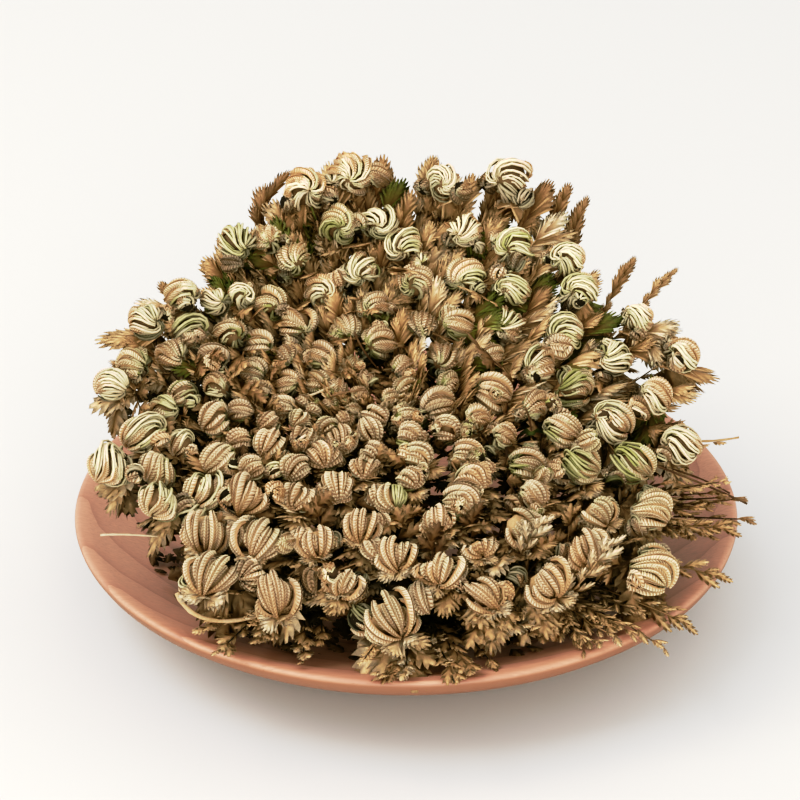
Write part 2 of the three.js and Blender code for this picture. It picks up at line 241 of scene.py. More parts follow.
def wire(tree, node, values):
    """Sets or links the named or numbered inputs of a node."""
    for key, value in values.items():
        if isinstance(value, bpy.types.NodeSocket):
            tree.links.new(value, node.inputs[key])
        else:
            node.inputs[key].default_value = value


def add_node(tree, kind, values, **settings):
    """A node with its settings, and with values or links for its inputs."""
    made = tree.nodes.new(kind)
    for key, value in settings.items():
        setattr(made, key, value)
    wire(tree, made, values)
    return made


def maths(tree, operation, a, b=0.0, c=0.0, clamp=False):
    """One step of arithmetic on two or three values or links."""
    values = {0: a, 1: b, 2: c}
    return add_node(tree, "ShaderNodeMath", values, operation=operation, use_clamp=clamp).outputs[0]


def noise(tree, place, scale, detail):
    """A noise pattern from 0 to 1, read at a place."""
    values = {"Vector": place, "Scale": scale, "Detail": detail}
    return add_node(tree, "ShaderNodeTexNoise", values).outputs["Fac"]


def stretched(tree, place, scale):
    """A place scaled along each axis."""
    return add_node(tree, "ShaderNodeMapping", {"Vector": place, "Scale": scale}).outputs[0]


def ramp(tree, factor, stops):
    """A colour ramp through stops of position and colour."""
    made = add_node(tree, "ShaderNodeValToRGB", {"Fac": factor})
    elements = made.color_ramp.elements
    while len(elements) < len(stops):
        elements.new(0.5)
    for element, (place, tint) in zip(elements, stops):
        element.position, element.color = place, colour(*tint)
    return made.outputs["Color"]


def blend(tree, factor, a, b, kind="MIX"):
    """Colour a turned into colour b by a factor."""
    values = {0: factor, 6: a, 7: b}
    return add_node(tree, "ShaderNodeMix", values, data_type="RGBA", blend_type=kind).outputs[2]


def shade(tree, tint, light):
    """A colour multiplied by a brightness."""
    grey = add_node(tree, "ShaderNodeCombineColor", {0: light, 1: light, 2: light})
    return blend(tree, 1.0, tint, grey.outputs[0], "MULTIPLY")


def new_group(name, inputs, outputs):
    """A shader node group with named sockets: inputs give a kind and a starting value. Returns
    its tree, the sockets inside it, and the node that its results go into."""
    group = bpy.data.node_groups.new(name, "ShaderNodeTree")
    for label, (kind, value) in inputs.items():
        socket = group.interface.new_socket(label, in_out="INPUT", socket_type=kind)
        if value is not None:
            socket.default_value = value
    for label in outputs:
        group.interface.new_socket(label, in_out="OUTPUT", socket_type=outputs[label])
    start = group.nodes.new("NodeGroupInput")
    return group, start.outputs, group.nodes.new("NodeGroupOutput")


def new_material(name):
    """A material with its node tree, its shader and the place on the object."""
    made = bpy.data.materials.new(name)
    made.use_nodes = True
    place = add_node(made.node_tree, "ShaderNodeTexCoord", {}).outputs["Object"]
    return made, made.node_tree, made.node_tree.nodes["Principled BSDF"], place


def bump(tree, height, strength):
    """The normal of a surface with relief, 0.3 mm high at full strength."""
    values = {"Height": height, "Strength": strength, "Distance": 0.0003}
    return add_node(tree, "ShaderNodeBump", values).outputs["Normal"]


FLOAT, COLOUR, VECTOR = "NodeSocketFloat", "NodeSocketColor", "NodeSocketVector"

# %% Leaf colour group
AGES = [
    (0.00, (64, 74, 30)), (0.12, (98, 102, 48)), (0.26, (146, 144, 94)), (0.38, (208, 197, 162)),
    (0.50, (217, 196, 166)), (0.62, (200, 169, 130)), (0.80, (168, 135, 99)), (1.00, (88, 62, 44)),
]
leaf_colour, inside, results = new_group(
    "leaf_colour",
    {"Age": (FLOAT, 0.5), "Edge": (FLOAT, 1.0), "Tone": (FLOAT, 0.5), "Place": (VECTOR, None),
     "Crease": (COLOUR, (0.2, 0.1, 0.05, 1.0)), "Crease reach": (FLOAT, 0.4)},
    {"Color": COLOUR, "Patches": FLOAT})
tree = leaf_colour
patches = noise(tree, inside["Place"], 170.0, 3.0)
specks = noise(tree, inside["Place"], 1400.0, 2.0)
wander = maths(tree, "MULTIPLY_ADD", patches, 0.22, -0.11)
age = maths(tree, "ADD", inside["Age"], wander, clamp=True)
# The crease colour is mixed in at low edge values: real creases, and painted shade on the lower sides of tubes
# and tucked-under corners.
crease_and_shade_mix = maths(tree, "DIVIDE", inside["Edge"], inside["Crease reach"], clamp=True)
body = blend(tree, crease_and_shade_mix, inside["Crease"], ramp(tree, age, AGES))
# Tone sets the brightness; besides random differences it carries painted light and painted shade.
light = maths(tree, "MAXIMUM", maths(tree, "MULTIPLY_ADD", inside["Tone"], 0.5, 0.8), 0.05)
light = maths(tree, "MULTIPLY", light, maths(tree, "MULTIPLY_ADD", specks, 0.5, 0.75))
wire(tree, results, {"Color": shade(tree, body, light), "Patches": patches})
print("group:", leaf_colour.name)

# %% Leaf relief group
leaf_relief, inside, results = new_group(
    "leaf_relief",
    {"Run": (VECTOR, None), "Rows per mm": (FLOAT, 2.0), "Slant": (FLOAT, 1.0), "Place": (VECTOR, None)},
    {"Height": FLOAT})
tree = leaf_relief
run = add_node(tree, "ShaderNodeSeparateXYZ", {0: inside["Run"]}).outputs
phase = maths(tree, "MULTIPLY_ADD", maths(tree, "ABSOLUTE", run["Y"]), inside["Slant"], run["X"])
turns = maths(tree, "MULTIPLY", maths(tree, "MULTIPLY", phase, inside["Rows per mm"]), 2 * PI)
grain = noise(tree, inside["Place"], 2200.0, 2.0)
wire(tree, results, {"Height": maths(tree, "MULTIPLY_ADD", maths(tree, "SINE", turns), 0.3, grain)})
print("group:", leaf_relief.name)

# %% Wood grain group
wood_grain, inside, results = new_group(
    "wood_grain", {"Place": (VECTOR, None), "Ring width": (FLOAT, 0.006), "Fibre": (FLOAT, 1.0)},
    {"Rings": FLOAT, "Fibres": FLOAT, "Pores": FLOAT})
tree = wood_grain
warp = noise(tree, stretched(tree, inside["Place"], (4.0, 42.0, 42.0)), 0.5, 3.0)
at = add_node(tree, "ShaderNodeSeparateXYZ", {0: inside["Place"]}).outputs
depth = maths(tree, "SUBTRACT", at["Z"], maths(tree, "MULTIPLY", at["Y"], 0.22))
depth = maths(tree, "ADD", depth, maths(tree, "MULTIPLY", warp, 0.012))
rings = maths(tree, "FRACT", maths(tree, "DIVIDE", depth, inside["Ring width"]))
fibres = noise(tree, stretched(tree, inside["Place"], (60.0, 1500.0, 1500.0)), 1.0, 4.0)
pores = noise(tree, stretched(tree, inside["Place"], (220.0, 2600.0, 2600.0)), 1.0, 1.0)
pore_mask = maths(tree, "SUBTRACT", pores, 0.62)
wire(tree, results, {"Rings": maths(tree, "POWER", rings, 2.5),
                     "Fibres": maths(tree, "MULTIPLY", fibres, inside["Fibre"]),
                     "Pores": maths(tree, "MULTIPLY", pore_mask, 6.0, clamp=True)})
print("group:", wood_grain.name)


# %% Materials of the plant
def leaf_material(name, crease, crease_reach, rows_per_mm, slant, relief, roughness):
    """A dry leaf's finish: colour from its age and creases, relief along its run."""
    made, tree, shader, place = new_material(name)
    leaf, run = (add_node(tree, "ShaderNodeAttribute", {}, attribute_name=label).outputs["Vector"]
                 for label in ("leaf", "run"))
    traits = add_node(tree, "ShaderNodeSeparateXYZ", {0: leaf}).outputs
    tint = add_node(tree, "ShaderNodeGroup", {
        "Age": traits["X"], "Edge": traits["Y"], "Tone": traits["Z"], "Place": place,
        "Crease": colour(*crease), "Crease reach": crease_reach}, node_tree=leaf_colour).outputs
    rows = add_node(tree, "ShaderNodeGroup", {
        "Run": run, "Place": place, "Rows per mm": rows_per_mm, "Slant": slant}, node_tree=leaf_relief)
    wire(tree, shader, {
        "Base Color": tint["Color"], "Normal": bump(tree, rows.outputs["Height"], relief),
        "Roughness": maths(tree, "MULTIPLY_ADD", tint["Patches"], 0.2, roughness),
        "Specular IOR Level": 0.35})
    return made


SCALES, STRANDS, BLADES, STEMS = range(4)
# Besides real creases, each crease colour is painted shade on the lower sides of tubes and, for scale leaves, on
# the tucked-under corners.
FINISHES = [
    leaf_material("scale_leaves", (116, 75, 48), 0.85, 3.0, 1.0, 0.25, 0.55),
    leaf_material("smooth_strands", (54, 50, 22), 0.9, 2.4, 0.6, 0.35, 0.5),
    leaf_material("flat_blades", (90, 63, 35), 0.55, 1.6, 1.4, 0.5, 0.65),
    leaf_material("dark_stems", (58, 40, 28), 0.5, 1.2, 0.4, 0.8, 0.8),
]
print("plant finishes:", [m.name for m in FINISHES])

# %% [markdown]
# ## Shells
# Every fine form of the plant is one of a few small closed shells, repeated: a four-cornered
# wedge for a scale leaf, flat outlines with a raised ridge for leaflets and lobed leaves, and a
# tube for a strand. Each batch is held as arrays of corners, so thousands of leaves are worked
# out at once. The batch also notes which frond each shell is on.

# %% Batches of shells
BATCHES = []


def add_shells(points, template, leaf, run, finish, node):
    """Notes m copies of one closed shell: corners (m, v, 3), corner numbers of its triangles
    (f, 3), leaf values of age, edge and tone (m, v, 3), run in millimetres along and across
    (m, v, 2), the finish, and the number of the frond that each copy is on (m)."""
    m, v = points.shape[:2]
    BATCHES.append((points, np.asarray(template), np.broadcast_to(leaf, (m, v, 3)),
                    np.broadcast_to(run, (m, v, 2)), finish, np.broadcast_to(node, (m,))))


def stacked(shape, *values):
    """Values of any fitting shapes side by side on a last axis."""
    return np.stack([np.broadcast_to(v, shape) for v in values], -1)


def frames(path, face):
    """Unit vectors at each point of paths (m, k, 3): along the path, across it, and up from its
    face. Across is along times face, and up is across times along."""
    along = unit(np.gradient(path, axis=1))
    across = unit(np.cross(along, face))
    return along, across, np.cross(across, along)


def lengths_along(path):
    """Millimetres from the start of each path (m, k, 3) to each of its points."""
    steps = np.linalg.norm(np.diff(path, axis=1), axis=-1)
    return np.concatenate([np.zeros((len(path), 1)), np.cumsum(steps, 1)], 1)


def walls(stations, sides):
    """Corner numbers of a tube's side: two triangles between each pair of neighbours on two
    neighbouring rings."""
    r, s = np.meshgrid(np.arange(stations - 1), np.arange(sides), indexing="ij")
    a, b = r * sides + s, r * sides + (s + 1) % sides
    pairs = [stacked(a.shape, a, b + sides, b), stacked(a.shape, a, a + sides, b + sides)]
    return np.concatenate(pairs).reshape(-1, 3)


def tube_template(stations, sides):
    """Corner numbers of a tube with flat ends."""
    fan = np.arange(1, sides - 1)
    first = stacked(fan.shape, 0, fan, fan + 1)
    last = stacked(fan.shape, 0, fan + 1, fan) + (stations - 1) * sides
    return np.concatenate([walls(stations, sides), first, last])


DOME = np.radians([-28.0, 50.0, 130.0, 208.0])
WEDGE = np.radians([-30.0, 90.0, 210.0])
ROUND = np.radians([0.0, 51.4, 102.9, 154.3, 205.7, 257.1, 308.6])


def tubes(path, face, wide, high, corners, age, tone, finish, node, below=0.0):
    """Tubes along paths: at each station the given corners of an ellipse of half width wide and
    half height high. The edge value goes from below on the lower side to 1 on the upper."""
    m, k = path.shape[:2]
    along, across, up = frames(path, face)
    ring = (col(np.cos(corners)) * (col(wide) * across)[:, :, None]
            + col(np.sin(corners)) * (col(high) * up)[:, :, None])
    # The lower side gets a low edge value and so the crease colour: painted shade under each tube.
    level = np.clip(0.5 + 0.6 * np.sin(corners), 0, 1)
    shape = (m, k, len(corners))
    leaf = stacked(shape, col(col(age)), below + (1 - below) * level, col(col(tone)))
    run = stacked(shape, col(lengths_along(path)), np.cos(corners))
    add_shells((path[:, :, None] + ring).reshape(m, -1, 3), tube_template(k, len(corners)),
               leaf.reshape(m, -1, 3), run.reshape(m, -1, 2), finish, node)


# %% Flat outlines: kite, tongue, lobed leaf and fingered leaf
def leaf_faces(flat):
    """Triangles of a leaf with three lobes a side: an upper face about four midrib corners, and
    a lower face across the outline. The upper ones turn clockwise in (along, right)."""
    upper, lower = [(25, 9, 10), (25, 10, 21), (25, 21, 20)], [(9, 10, 21), (9, 21, 20)]
    for j in (0, 3, 6):
        rib = 22 + j // 3
        for a in (j, j + 11):
            upper += [(rib, a, a + 1), (rib, a + 1, a + 3), (a + 1, a + 2, a + 3), (rib, a + 3, rib + 1)]
            lower += [(a, a + 1, a + 2), (a, a + 2, a + 3)]
        lower += [(j, j + 3, j + 14), (j, j + 14, j + 11)]
    made = []
    for faces, sign in ((upper, -1), (lower, 1)):
        t = np.array(faces)
        u, v = flat[t[:, 1]] - flat[t[:, 0]], flat[t[:, 2]] - flat[t[:, 0]]
        wrong = (u[:, 0] * v[:, 1] - u[:, 1] * v[:, 0]) * sign < 0
        made.append(np.where(col(wrong), t[:, ::-1], t))
    return np.concatenate(made + [[(0, 22, 11)]])


def two_sided(side, midrib):
    """An outline from the corners of its right side, their mirror images and the midrib."""
    return np.concatenate([side, np.array(side) * [1, -1], [(a, 0) for a in midrib]])


LOBED = two_sided([(0, 0.12), (0.26, 0.76), (0.44, 0.98), (0.38, 0.42), (0.52, 0.80), (0.70, 0.92),
                   (0.62, 0.37), (0.75, 0.58), (0.92, 0.66), (0.86, 0.26), (1.0, 0.17)],
                  (0, 0.33, 0.58, 0.8))
FINGERED = two_sided([(0, 0.10), (0.46, 0.60), (0.68, 0.98), (0.61, 0.60), (0.77, 0.74), (0.90, 0.70),
                      (0.74, 0.38), (0.85, 0.43), (0.99, 0.36), (0.84, 0.14), (1.0, 0.08)],
                     (0, 0.4, 0.62, 0.8))
# Each form has its triangles, one or two outlines of (along, right), and at each corner the
# height of the ridge and the edge value.
KITE = ([(0, 1, 4), (1, 2, 4), (2, 3, 4), (3, 0, 4), (0, 2, 1), (0, 3, 2)],
        [[(0, 0), (0.45, 1), (1, 0), (0.45, -1), (0.5, 0)]], [0, 0, 0, 0, 1], [0, 0.45, 0.9, 0.45, 1])
TONGUE = ([(0, 6, 7), (6, 5, 7), (7, 5, 8), (7, 8, 1), (7, 1, 0), (5, 4, 8), (4, 3, 8), (3, 2, 8),
           (2, 1, 8), (0, 1, 5), (0, 5, 6), (1, 2, 4), (1, 4, 5), (2, 3, 4)],
          [[(0, -0.6), (0.4, -1), (0.82, -0.85), (1, 0), (0.82, 0.85), (0.4, 1), (0, 0.6), (0.08, 0),
            (0.62, 0)]],
          [0] * 7 + [1, 1], [0, 0.6, 0.9, 1, 0.9, 0.6, 0, 0.1, 0.8])
LEAF = (leaf_faces(LOBED), [LOBED, FINGERED], [0] * 22 + [0.5, 1.0, 0.8, 0.5],
        [0.1, 0.9, 1.0, 0.3, 0.9, 1.0, 0.35, 0.9, 1.0, 0.5, 1.0] * 2 + [0.0, 0.25, 0.35, 0.5])


def leaflets(form, foot, heading, face, length, half_width, lift, age, tone, node, droop=0.0, cup=0.0,
             sweep=0.0, inner_age=None, fan=False):
    """Flat forms with their foot, heading and face. Each sinks by droop times the square of the
    way to its tip and by cup times the square of the way to its side, and bends to its right by
    sweep times the former. Lift raises its ridge, whose corners have the inner age. Fan picks
    the second outline. All arrays have one row a leaf."""
    faces, outlines, ridge, edge = form
    inner_age = age if inner_age is None else inner_age
    length, half_width, lift, age, tone, droop, cup, sweep, inner_age = (
        col(np.broadcast_to(v, (len(foot),)))
        for v in (length, half_width, lift, age, tone, droop, cup, sweep, inner_age))
    right = unit(np.cross(heading, face))
    up = np.cross(right, heading)
    outline = np.array(outlines, float)[np.broadcast_to(fan, (len(foot),)).astype(int)]
    a, b = outline[..., 0], outline[..., 1]
    ridge = np.array(ridge, float)
    points = (foot[:, None] + col(length * a) * heading[:, None]
              + col(half_width * b + sweep * a**2) * right[:, None]
              + col(lift * ridge - droop * a**2 - cup * b**2) * up[:, None])
    leaf = stacked(a.shape, np.where(ridge > 0, inner_age, age), edge, tone)
    add_shells(points, faces, leaf, np.stack([a * length, b * half_width], -1), BLADES, node)


edges = {(int(t[i]), int(t[i - 2])) for t in LEAF[0] for i in range(3)}
closed = len(edges) == 3 * len(LEAF[0]) and edges == {e[::-1] for e in edges}
print("leaf triangles:", len(LEAF[0]), " closed:", closed)


# %% [markdown]
# ## Ribs
# A head is a frond tip rolled up like a fern's crozier. From outside one sees its branches as
# ribs side by side. A rib that shows its back is a braid: two rows of tiny overlapping scale
# leaves that meet in a zigzag. A rib that shows its edge is a pair of smooth strands.

# %% A braid of scale leaves
SCALE = [(0, 1, 3), (1, 2, 3), (0, 2, 1), (0, 3, 2)]


def braid(path, face, half_width, age, tone, node, number):
    """A rib clad in scale leaves over a thin core. At each station a wedge lies on each side of
    the sunken midline: its foot is on the midline and its tip points forward at the edge. Its
    fore corner is raised over the aft corner of the next wedge. Age is (m, k)."""
    along, across, up = frames(path, face)
    m, k = path.shape[:2]
    w = col(half_width)
    pitch = (lengths_along(path)[:, -1] / (k - 1))[:, None, None]
    jitter = col(vary(col(number) + 0.37 * np.arange(k), 31, 1.0))
    for side in (1, -1):
        ahead = (1.15 + 0.25 * jitter * side) * w

        def at(a, b, c):
            return path + along * a + across * (side * b) + up * c
        foot = at(-0.35 * pitch, 0.02 * w, 0.68 * w)
        tip = at(ahead, w, -0.10 * w)
        fore = at(0.5 * ahead + 0.55 * pitch, 0.50 * w - 0.22 * pitch, 0.66 * w + 0.34 * pitch)
        aft = at(0.5 * ahead - 0.50 * pitch, 0.54 * w + 0.25 * pitch, 0.48 * w - 0.04 * pitch)
        order = [foot, aft, tip, fore] if side > 0 else [foot, fore, tip, aft]
        points = np.stack(order, 2).reshape(m * k, 4, 3)
        # The foot is the midline's own pink-brown. The aft corner, tucked under the wedge before it, is darkest
        # and the raised fore corner lightest: painted shade along each overlap, which also draws the zigzag.
        edge = [0.1, 0.0, 0.7, 1.0] if side > 0 else [0.1, 1.0, 0.7, 0.0]
        leaf = stacked((m, k, 4), col(age), edge, col(col(tone) + 0.3 * jitter[..., 0]))
        run = [(0.0, 0.0), (0.3, 0.5), (1.0, 1.0), (0.6, 0.5)]
        add_shells(points, SCALE, leaf.reshape(m * k, 4, 3), run, SCALES, np.repeat(node, k))
    few = np.linspace(0, k - 1, k // 4 + 2).round().astype(int)
    core = path[:, few] - up[:, few] * 0.06 * w[:, few]
    tubes(core, face[:, few], 0.92 * half_width[:, few], 0.70 * half_width[:, few], DOME,
          np.full(m, 0.7), tone, SCALES, node, below=0.2)


# %% [markdown]
# ## Rolling up a head
# The branches of a head leave one point below, run side by side up its back and over its top,
# and wind together into a whorl on the side of the heart. So a head is drawn as a ball with two
# poles, the base and the whorl, and its branches are curves from one to the other. Near the
# whorl a branch turns on edge, and its scale leaves show as two smooth strands. The heads in
# front have begun to open: their ribs stay apart and end as a fan with a scalloped edge.

# %% The table of ribs
RIB_START, RIB_END = 0.05, 0.96
FAN_FLARE = 0.25


def longitude(shift, mu):
    """The turn about the shifted axis at which mu is seen from the ball's middle."""
    t = np.sqrt(1 - (shift * np.sin(mu)) ** 2) - shift * np.cos(mu)
    return np.arctan2(t * np.sin(mu), t * np.cos(mu) + shift)


def rib_table(centre, radius, base, whorl, node, number, **traits):
    """One row a rib for all ribs of many heads, from one value a head or one for all. The ribs
    lie side by side over cover either way from the back. Each is a braid up to its end near the
    split, and then strands that swirl. Wide and tall stretch the ball across and from pole to
    pole, flare narrows it at the base, and tan is how much older the braids look than the age.
    Dive is how far each rib's tip turns in by itself. Light and shade is added to the tone: painted light for
    heads behind and painted shade for fans and heads towards the heart."""
    traits = {key: np.broadcast_to(value, radius.shape) for key, value in traits.items()}
    ribs = np.clip(np.round(2 * traits["cover"] * radius / traits["rib_width"]), 4, 17).astype(int)
    head = np.repeat(np.arange(len(radius)), ribs)
    order = np.arange(len(head)) - (np.cumsum(ribs) - ribs)[head]
    between_poles = np.arccos(np.clip(np.sum(base * whorl, -1), -0.98, -0.3))
    traits.update(centre=centre, radius=radius, node=node, number=number, e=unit(base - whorl),
                  back=-unit(base + whorl), shift=np.tan((PI - between_poles) / 2), ribs=ribs)
    rib = SimpleNamespace(**{key: value[head] for key, value in traits.items()})
    rib.across = np.cross(rib.e, rib.back)
    rib.tag = rib.number * 17.0 + order * 1.7
    rib.open_fan = rib.flare > FAN_FLARE
    step = 2 * rib.cover / rib.ribs
    aim = (order + 0.5) * step - rib.cover + vary(rib.tag, 41, 0.16) * (1 - 0.7 * rib.open_fan) * step
    low, high = longitude(rib.shift, aim - 0.5 * step), longitude(rib.shift, aim + 0.5 * step)
    rib.middle, rib.half = (low + high) / 2, (high - low) / 2
    rib.bump, rib.apart = rib.uneven * vary(rib.tag, 42, 2.0), rib.uneven * vary(rib.tag, 45, 1.6)
    rib.waver = vary(rib.tag, 43, 0.8) * (1 - 0.8 * rib.open_fan)
    end = np.clip(rib.split + vary(rib.tag, 44, 0.2) - 0.055 * rib.open_fan * aim**2, 0.08, 0.92)
    seen_on_edge = (np.abs(aim) > 1.4 + 0.8 * draw(rib.tag, 46) + 2.2 * rib.flare) & ~rib.open_fan
    rib.end = np.where(seen_on_edge, 0.1, end)
    rib.merge = np.where(np.abs(rib.swirl) > 1.2, 0.62, 0.84)
    rib.tone = 0.5 + rib.pale + vary(rib.number, 47, 0.4) + vary(rib.tag, 48, 0.3)
    rib.age = rib.age + vary(rib.tag, 49, 0.1)
    return rib


# %% Curves between the two poles of a head
def rib_curve(rib, off=0.0, lift=0.0):
    """A function that gives points and outward vectors of ribs at leans v times pi. With e from
    whorl to base, b the back and n across, at a turn t the outward vector is q = unit(cos e +
    sin (cos t b + sin t n) - shift b), and the shift brings the poles to the given directions."""
    e, back, across = rib.e[:, None], rib.back[:, None], rib.across[:, None]

    def at(v):
        turn = col(rib.middle) + off * col(rib.half) + col(rib.waver) * 0.4 * np.sin(PI * v)
        turn = turn + col(rib.swirl) * ease((v - 0.3) / 0.7) ** 1.3
        turn = turn + 0.25 * col(rib.waver) * np.sin(9 * v + col(rib.tag))
        level = col(np.cos(turn)) * back + col(np.sin(turn)) * across
        q = unit(col(np.cos(PI * v)) * e + col(np.sin(PI * v)) * level - col(col(rib.shift)) * back)
        r = 1 + col(rib.bump) + col(rib.apart) * ease((v - 0.35) / 0.3) + lift
        r = r - col(rib.flare) * (1 - ease(v / 0.5)) - 0.3 * ease((v - 0.8) / 0.2)
        r = r - col(rib.dive) * ease((v - col(rib.end) + 0.14) / 0.2)
        shaped = q + col(col(rib.wide - 1)) * part_along(q, across) + col(col(rib.tall - 1)) * part_along(q, e)
        return rib.centre[:, None] + col(col(rib.radius) * r) * shaped, q
    return at


def even_shares(rib, low, high, count):
    """Leans that cut ribs from low to high into equal lengths, (m, count). The lengths of finely
    cut curves are laid end to end, so that one look-up serves all."""
    fine = np.linspace(0.0, 1.0, 40)
    far = lengths_along(rib_curve(rib)(col(low) + col(high - low) * fine)[0])
    row = 2.0 * col(np.arange(len(far)))
    found = np.interp(np.linspace(0, 1, count) + row, (far / far[:, -1:] + row).ravel(),
                      np.tile(fine, len(far)))
    return col(low) + col(high - low) * found


def lay(rib, off, room, v, lift=0.0):
    """Paths, outward vectors and half widths of ribs, from the gap between their two sides."""
    path, q = rib_curve(rib, off, lift)(v)
    gap = rib_curve(rib, off + room, lift)(v)[0] - rib_curve(rib, off - room, lift)(v)[0]
    gap = gap - part_along(gap, unit(np.gradient(path, axis=1)))
    return path, q, 0.5 * np.linalg.norm(gap, axis=-1)


# %% Braids and strands on the ribs
def lay_braids(rib, count):
    """Braids of count stations up the backs of ribs to their ends, where they taper."""
    v = even_shares(rib, np.full(len(rib.end), RIB_START), rib.end, count)
    path, q, w = lay(rib, 0.0, 1.0, v)
    is_open = col(rib.open_fan)
    w = np.clip((1.22 - 0.12 * is_open * ease((v - 0.2) / 0.35)) * w, 0.35, 0.8 * col(rib.rib_width))
    w = w * (1 - (0.35 - 0.15 * is_open) * ease((v - col(rib.end) + 0.12) / 0.12))
    older = col(rib.age) + col(rib.tan) + 0.2 * is_open * (1 - ease(v / 0.5))
    braid(path - 0.45 * col(w) * q, q, w, older, rib.tone, rib.node, rib.tag)


def lay_strands(rib, count):
    """Two strands on each rib from its end on. The second dips away where they merge, and the
    first goes on alone in the middle to the whorl."""
    start = np.maximum(RIB_START, rib.end - 0.1)
    for side in (-0.5, 0.5):
        second, strand = side > 0, rib.tag + side
        stop = rib.merge + 0.1 * draw(rib.tag, 56) if second else np.full(len(start), RIB_END)
        stations = max(4, int(count * 0.6)) if second else count
        v = even_shares(rib, start, np.maximum(stop, start + 0.1), stations)
        alone = 0 * v if second else ease((v - col(rib.merge) + 0.12) / 0.14)
        lift = col(vary(strand, 52, 0.12)) - 0.08 * (1 - ease((v - col(start)) / 0.12))
        lift = lift - 0.16 * second * ease((v - col(stop) + 0.12) / 0.12)
        path, q, w = lay(rib, side * (1 - alone), 0.5 + 0.45 * alone, v, lift)
        w = np.clip(0.94 * w * col(0.85 + 0.3 * draw(strand, 57)), 0.36, 0.27 * col(rib.rib_width))
        tubes(path - 0.4 * col(w) * q, q, w, 1.15 * w, DOME, rib.age - 0.09 + 0.08 * draw(strand, 53),
              rib.tone + vary(strand, 54, 0.3), STRANDS, rib.node)


def lay_stray(rib):
    """One thin strand on each rib that strays across its neighbours."""
    t = np.linspace(0, 1, 9)
    v = col(rib.end - 0.05) + col(0.95 - rib.end) * t
    drift = np.where(draw(rib.tag, 59) > 0.5, 1.6, -1.6) * (0.4 + draw(rib.tag, 39))
    path, q = rib_curve(rib, col(drift) * (t - 0.5), 0.07 + 0.1 * np.sin(PI * t))(v)
    w = np.broadcast_to(0.5 * (0.7 + 0.3 * np.sin(PI * t)), v.shape)
    tubes(path, q, w, w, DOME, rib.age - 0.04, rib.tone + 0.1, STRANDS, rib.node)


def head_ribs(*heads, **traits):
    """Lays all ribs of many heads, with stations as far apart as the scale leaves need. Ribs
    with equally many stations are laid at once. Returns the number of ribs."""
    def rows(chosen):
        return SimpleNamespace(**{key: value[chosen] for key, value in vars(rib).items()})
    rib = rib_table(*heads, **traits)
    whole = np.linspace(RIB_START, 1, 30) * np.ones((len(rib.tag), 1))
    length = lengths_along(rib_curve(rib)(whole)[0])[:, -1]
    back = np.clip(np.round(length * rib.end / 0.84 / 2) * 2, 4, 48) + 1
    front = np.clip(np.round(length * (1 - rib.end) / 2.2 / 2) * 2 + 2, 4, 14)
    for steps, lay_all in ((back * (rib.end > 0.2), lay_braids), (front * ~rib.open_fan, lay_strands)):
        for count in np.unique(steps[steps > 0]):
            lay_all(rows(steps == count), int(count))
    stray = (draw(rib.tag, 58) > 0.6) & (rib.end < 0.62) & ~rib.open_fan
    if stray.any():
        lay_stray(rows(stray))
    return len(rib.tag)


# %% The ball inside a head
def shaded_cores(centre, radius, head, age=0.9, tone=-1.1, kind=STEMS):
    """A ball that closes each curl of a head, dark as painted shade between its ribs: six rings of a sphere as a
    tube.
    """
    s = np.linspace(0.04, 0.96, 6)
    path = centre[:, None] + radius[:, None, None] * col(-np.cos(PI * s)) * OUT[head][:, None]
    wide = col(radius) * np.sin(PI * s)
    age, tone = (np.broadcast_to(v, radius.shape) for v in (age, tone))
    tubes(path, INWARD[head][:, None], wide, wide, ROUND, age, tone, kind, NODE_OF_HEAD[head])


# %% Roll up every head
OUTER = ease((SHARE - 0.45) / 0.3)
TO_HEART = unit((HEART - CENTRE) * [1, 1, 0])
FRONT = ease((-OUT[:, 1] - 0.3) / 0.5) * OUTER
IS_FAN = FRONT * (1 - OUT[:, 0] ** 2) > 0.62 - 0.3 * draw(n, 12)

BALL_BASE = col(0.55 + 0.3 * OUTER) * DOWN - col(0.85 + 0.2 * OUTER) * TO_HEART + scatter(n, 60, 0.5)
BALL_WHORL = (col(0.9 + 0.2 * OUTER) * TO_HEART + col(0.5 * OUTER - 0.35) * UPWARD
              - 0.35 * col(OUTER * (1 - FRONT)) * np.array([0, 1, 0]) + scatter(n, 64, 0.9))
FAN_BASE = unit(0.67 * DOWN - 0.74 * TO_HEART + scatter(n, 60, 0.8))
FAN_WHORL = -FAN_BASE - 0.35 * unit(0.8 * UPWARD - 0.6 * TO_HEART + scatter(n, 64, 0.4))
BASE = unit(np.where(col(IS_FAN), FAN_BASE, BALL_BASE))
WHORL = unit(np.where(col(IS_FAN), FAN_WHORL, BALL_WHORL))
HEAD_AGE = 0.34 + 0.10 * SHARE + vary(n, 14, 0.12)
SPLIT = np.where(IS_FAN, 0.67, 0.74 - np.where(draw(n, 15) > 0.45, 0.3 * OUTER, 0.0))
SWIRL = np.where(draw(n, 19) > 0.5, 1.0, -1.0) * (0.3 + 0.7 * OUTER + 1.6 * draw(n, 20) ** 2)
HEAD_SIZE = (RADIUS - 0.55 * np.maximum(0, RADIUS - 5.2)) * (0.74 + 0.12 * OUTER + 0.26 * draw(n, 17))
HEAD_SIZE = HEAD_SIZE * (1 + (0.5 * draw(n, 13) - 0.28) * IS_FAN)
HEAD_SIZE = HEAD_SIZE * (1 - 0.24 * ease((CENTRE[:, 0] - 55) / 25) * ease((CENTRE[:, 1] + 15) / 20))
# Painted light: heads behind the heart, and a little those on the right, get a brighter tone.
sunlit = 0.42 * ease((CENTRE[:, 1] - 5) / 40) + 0.08 * ease((CENTRE[:, 0] - 30) / 40)
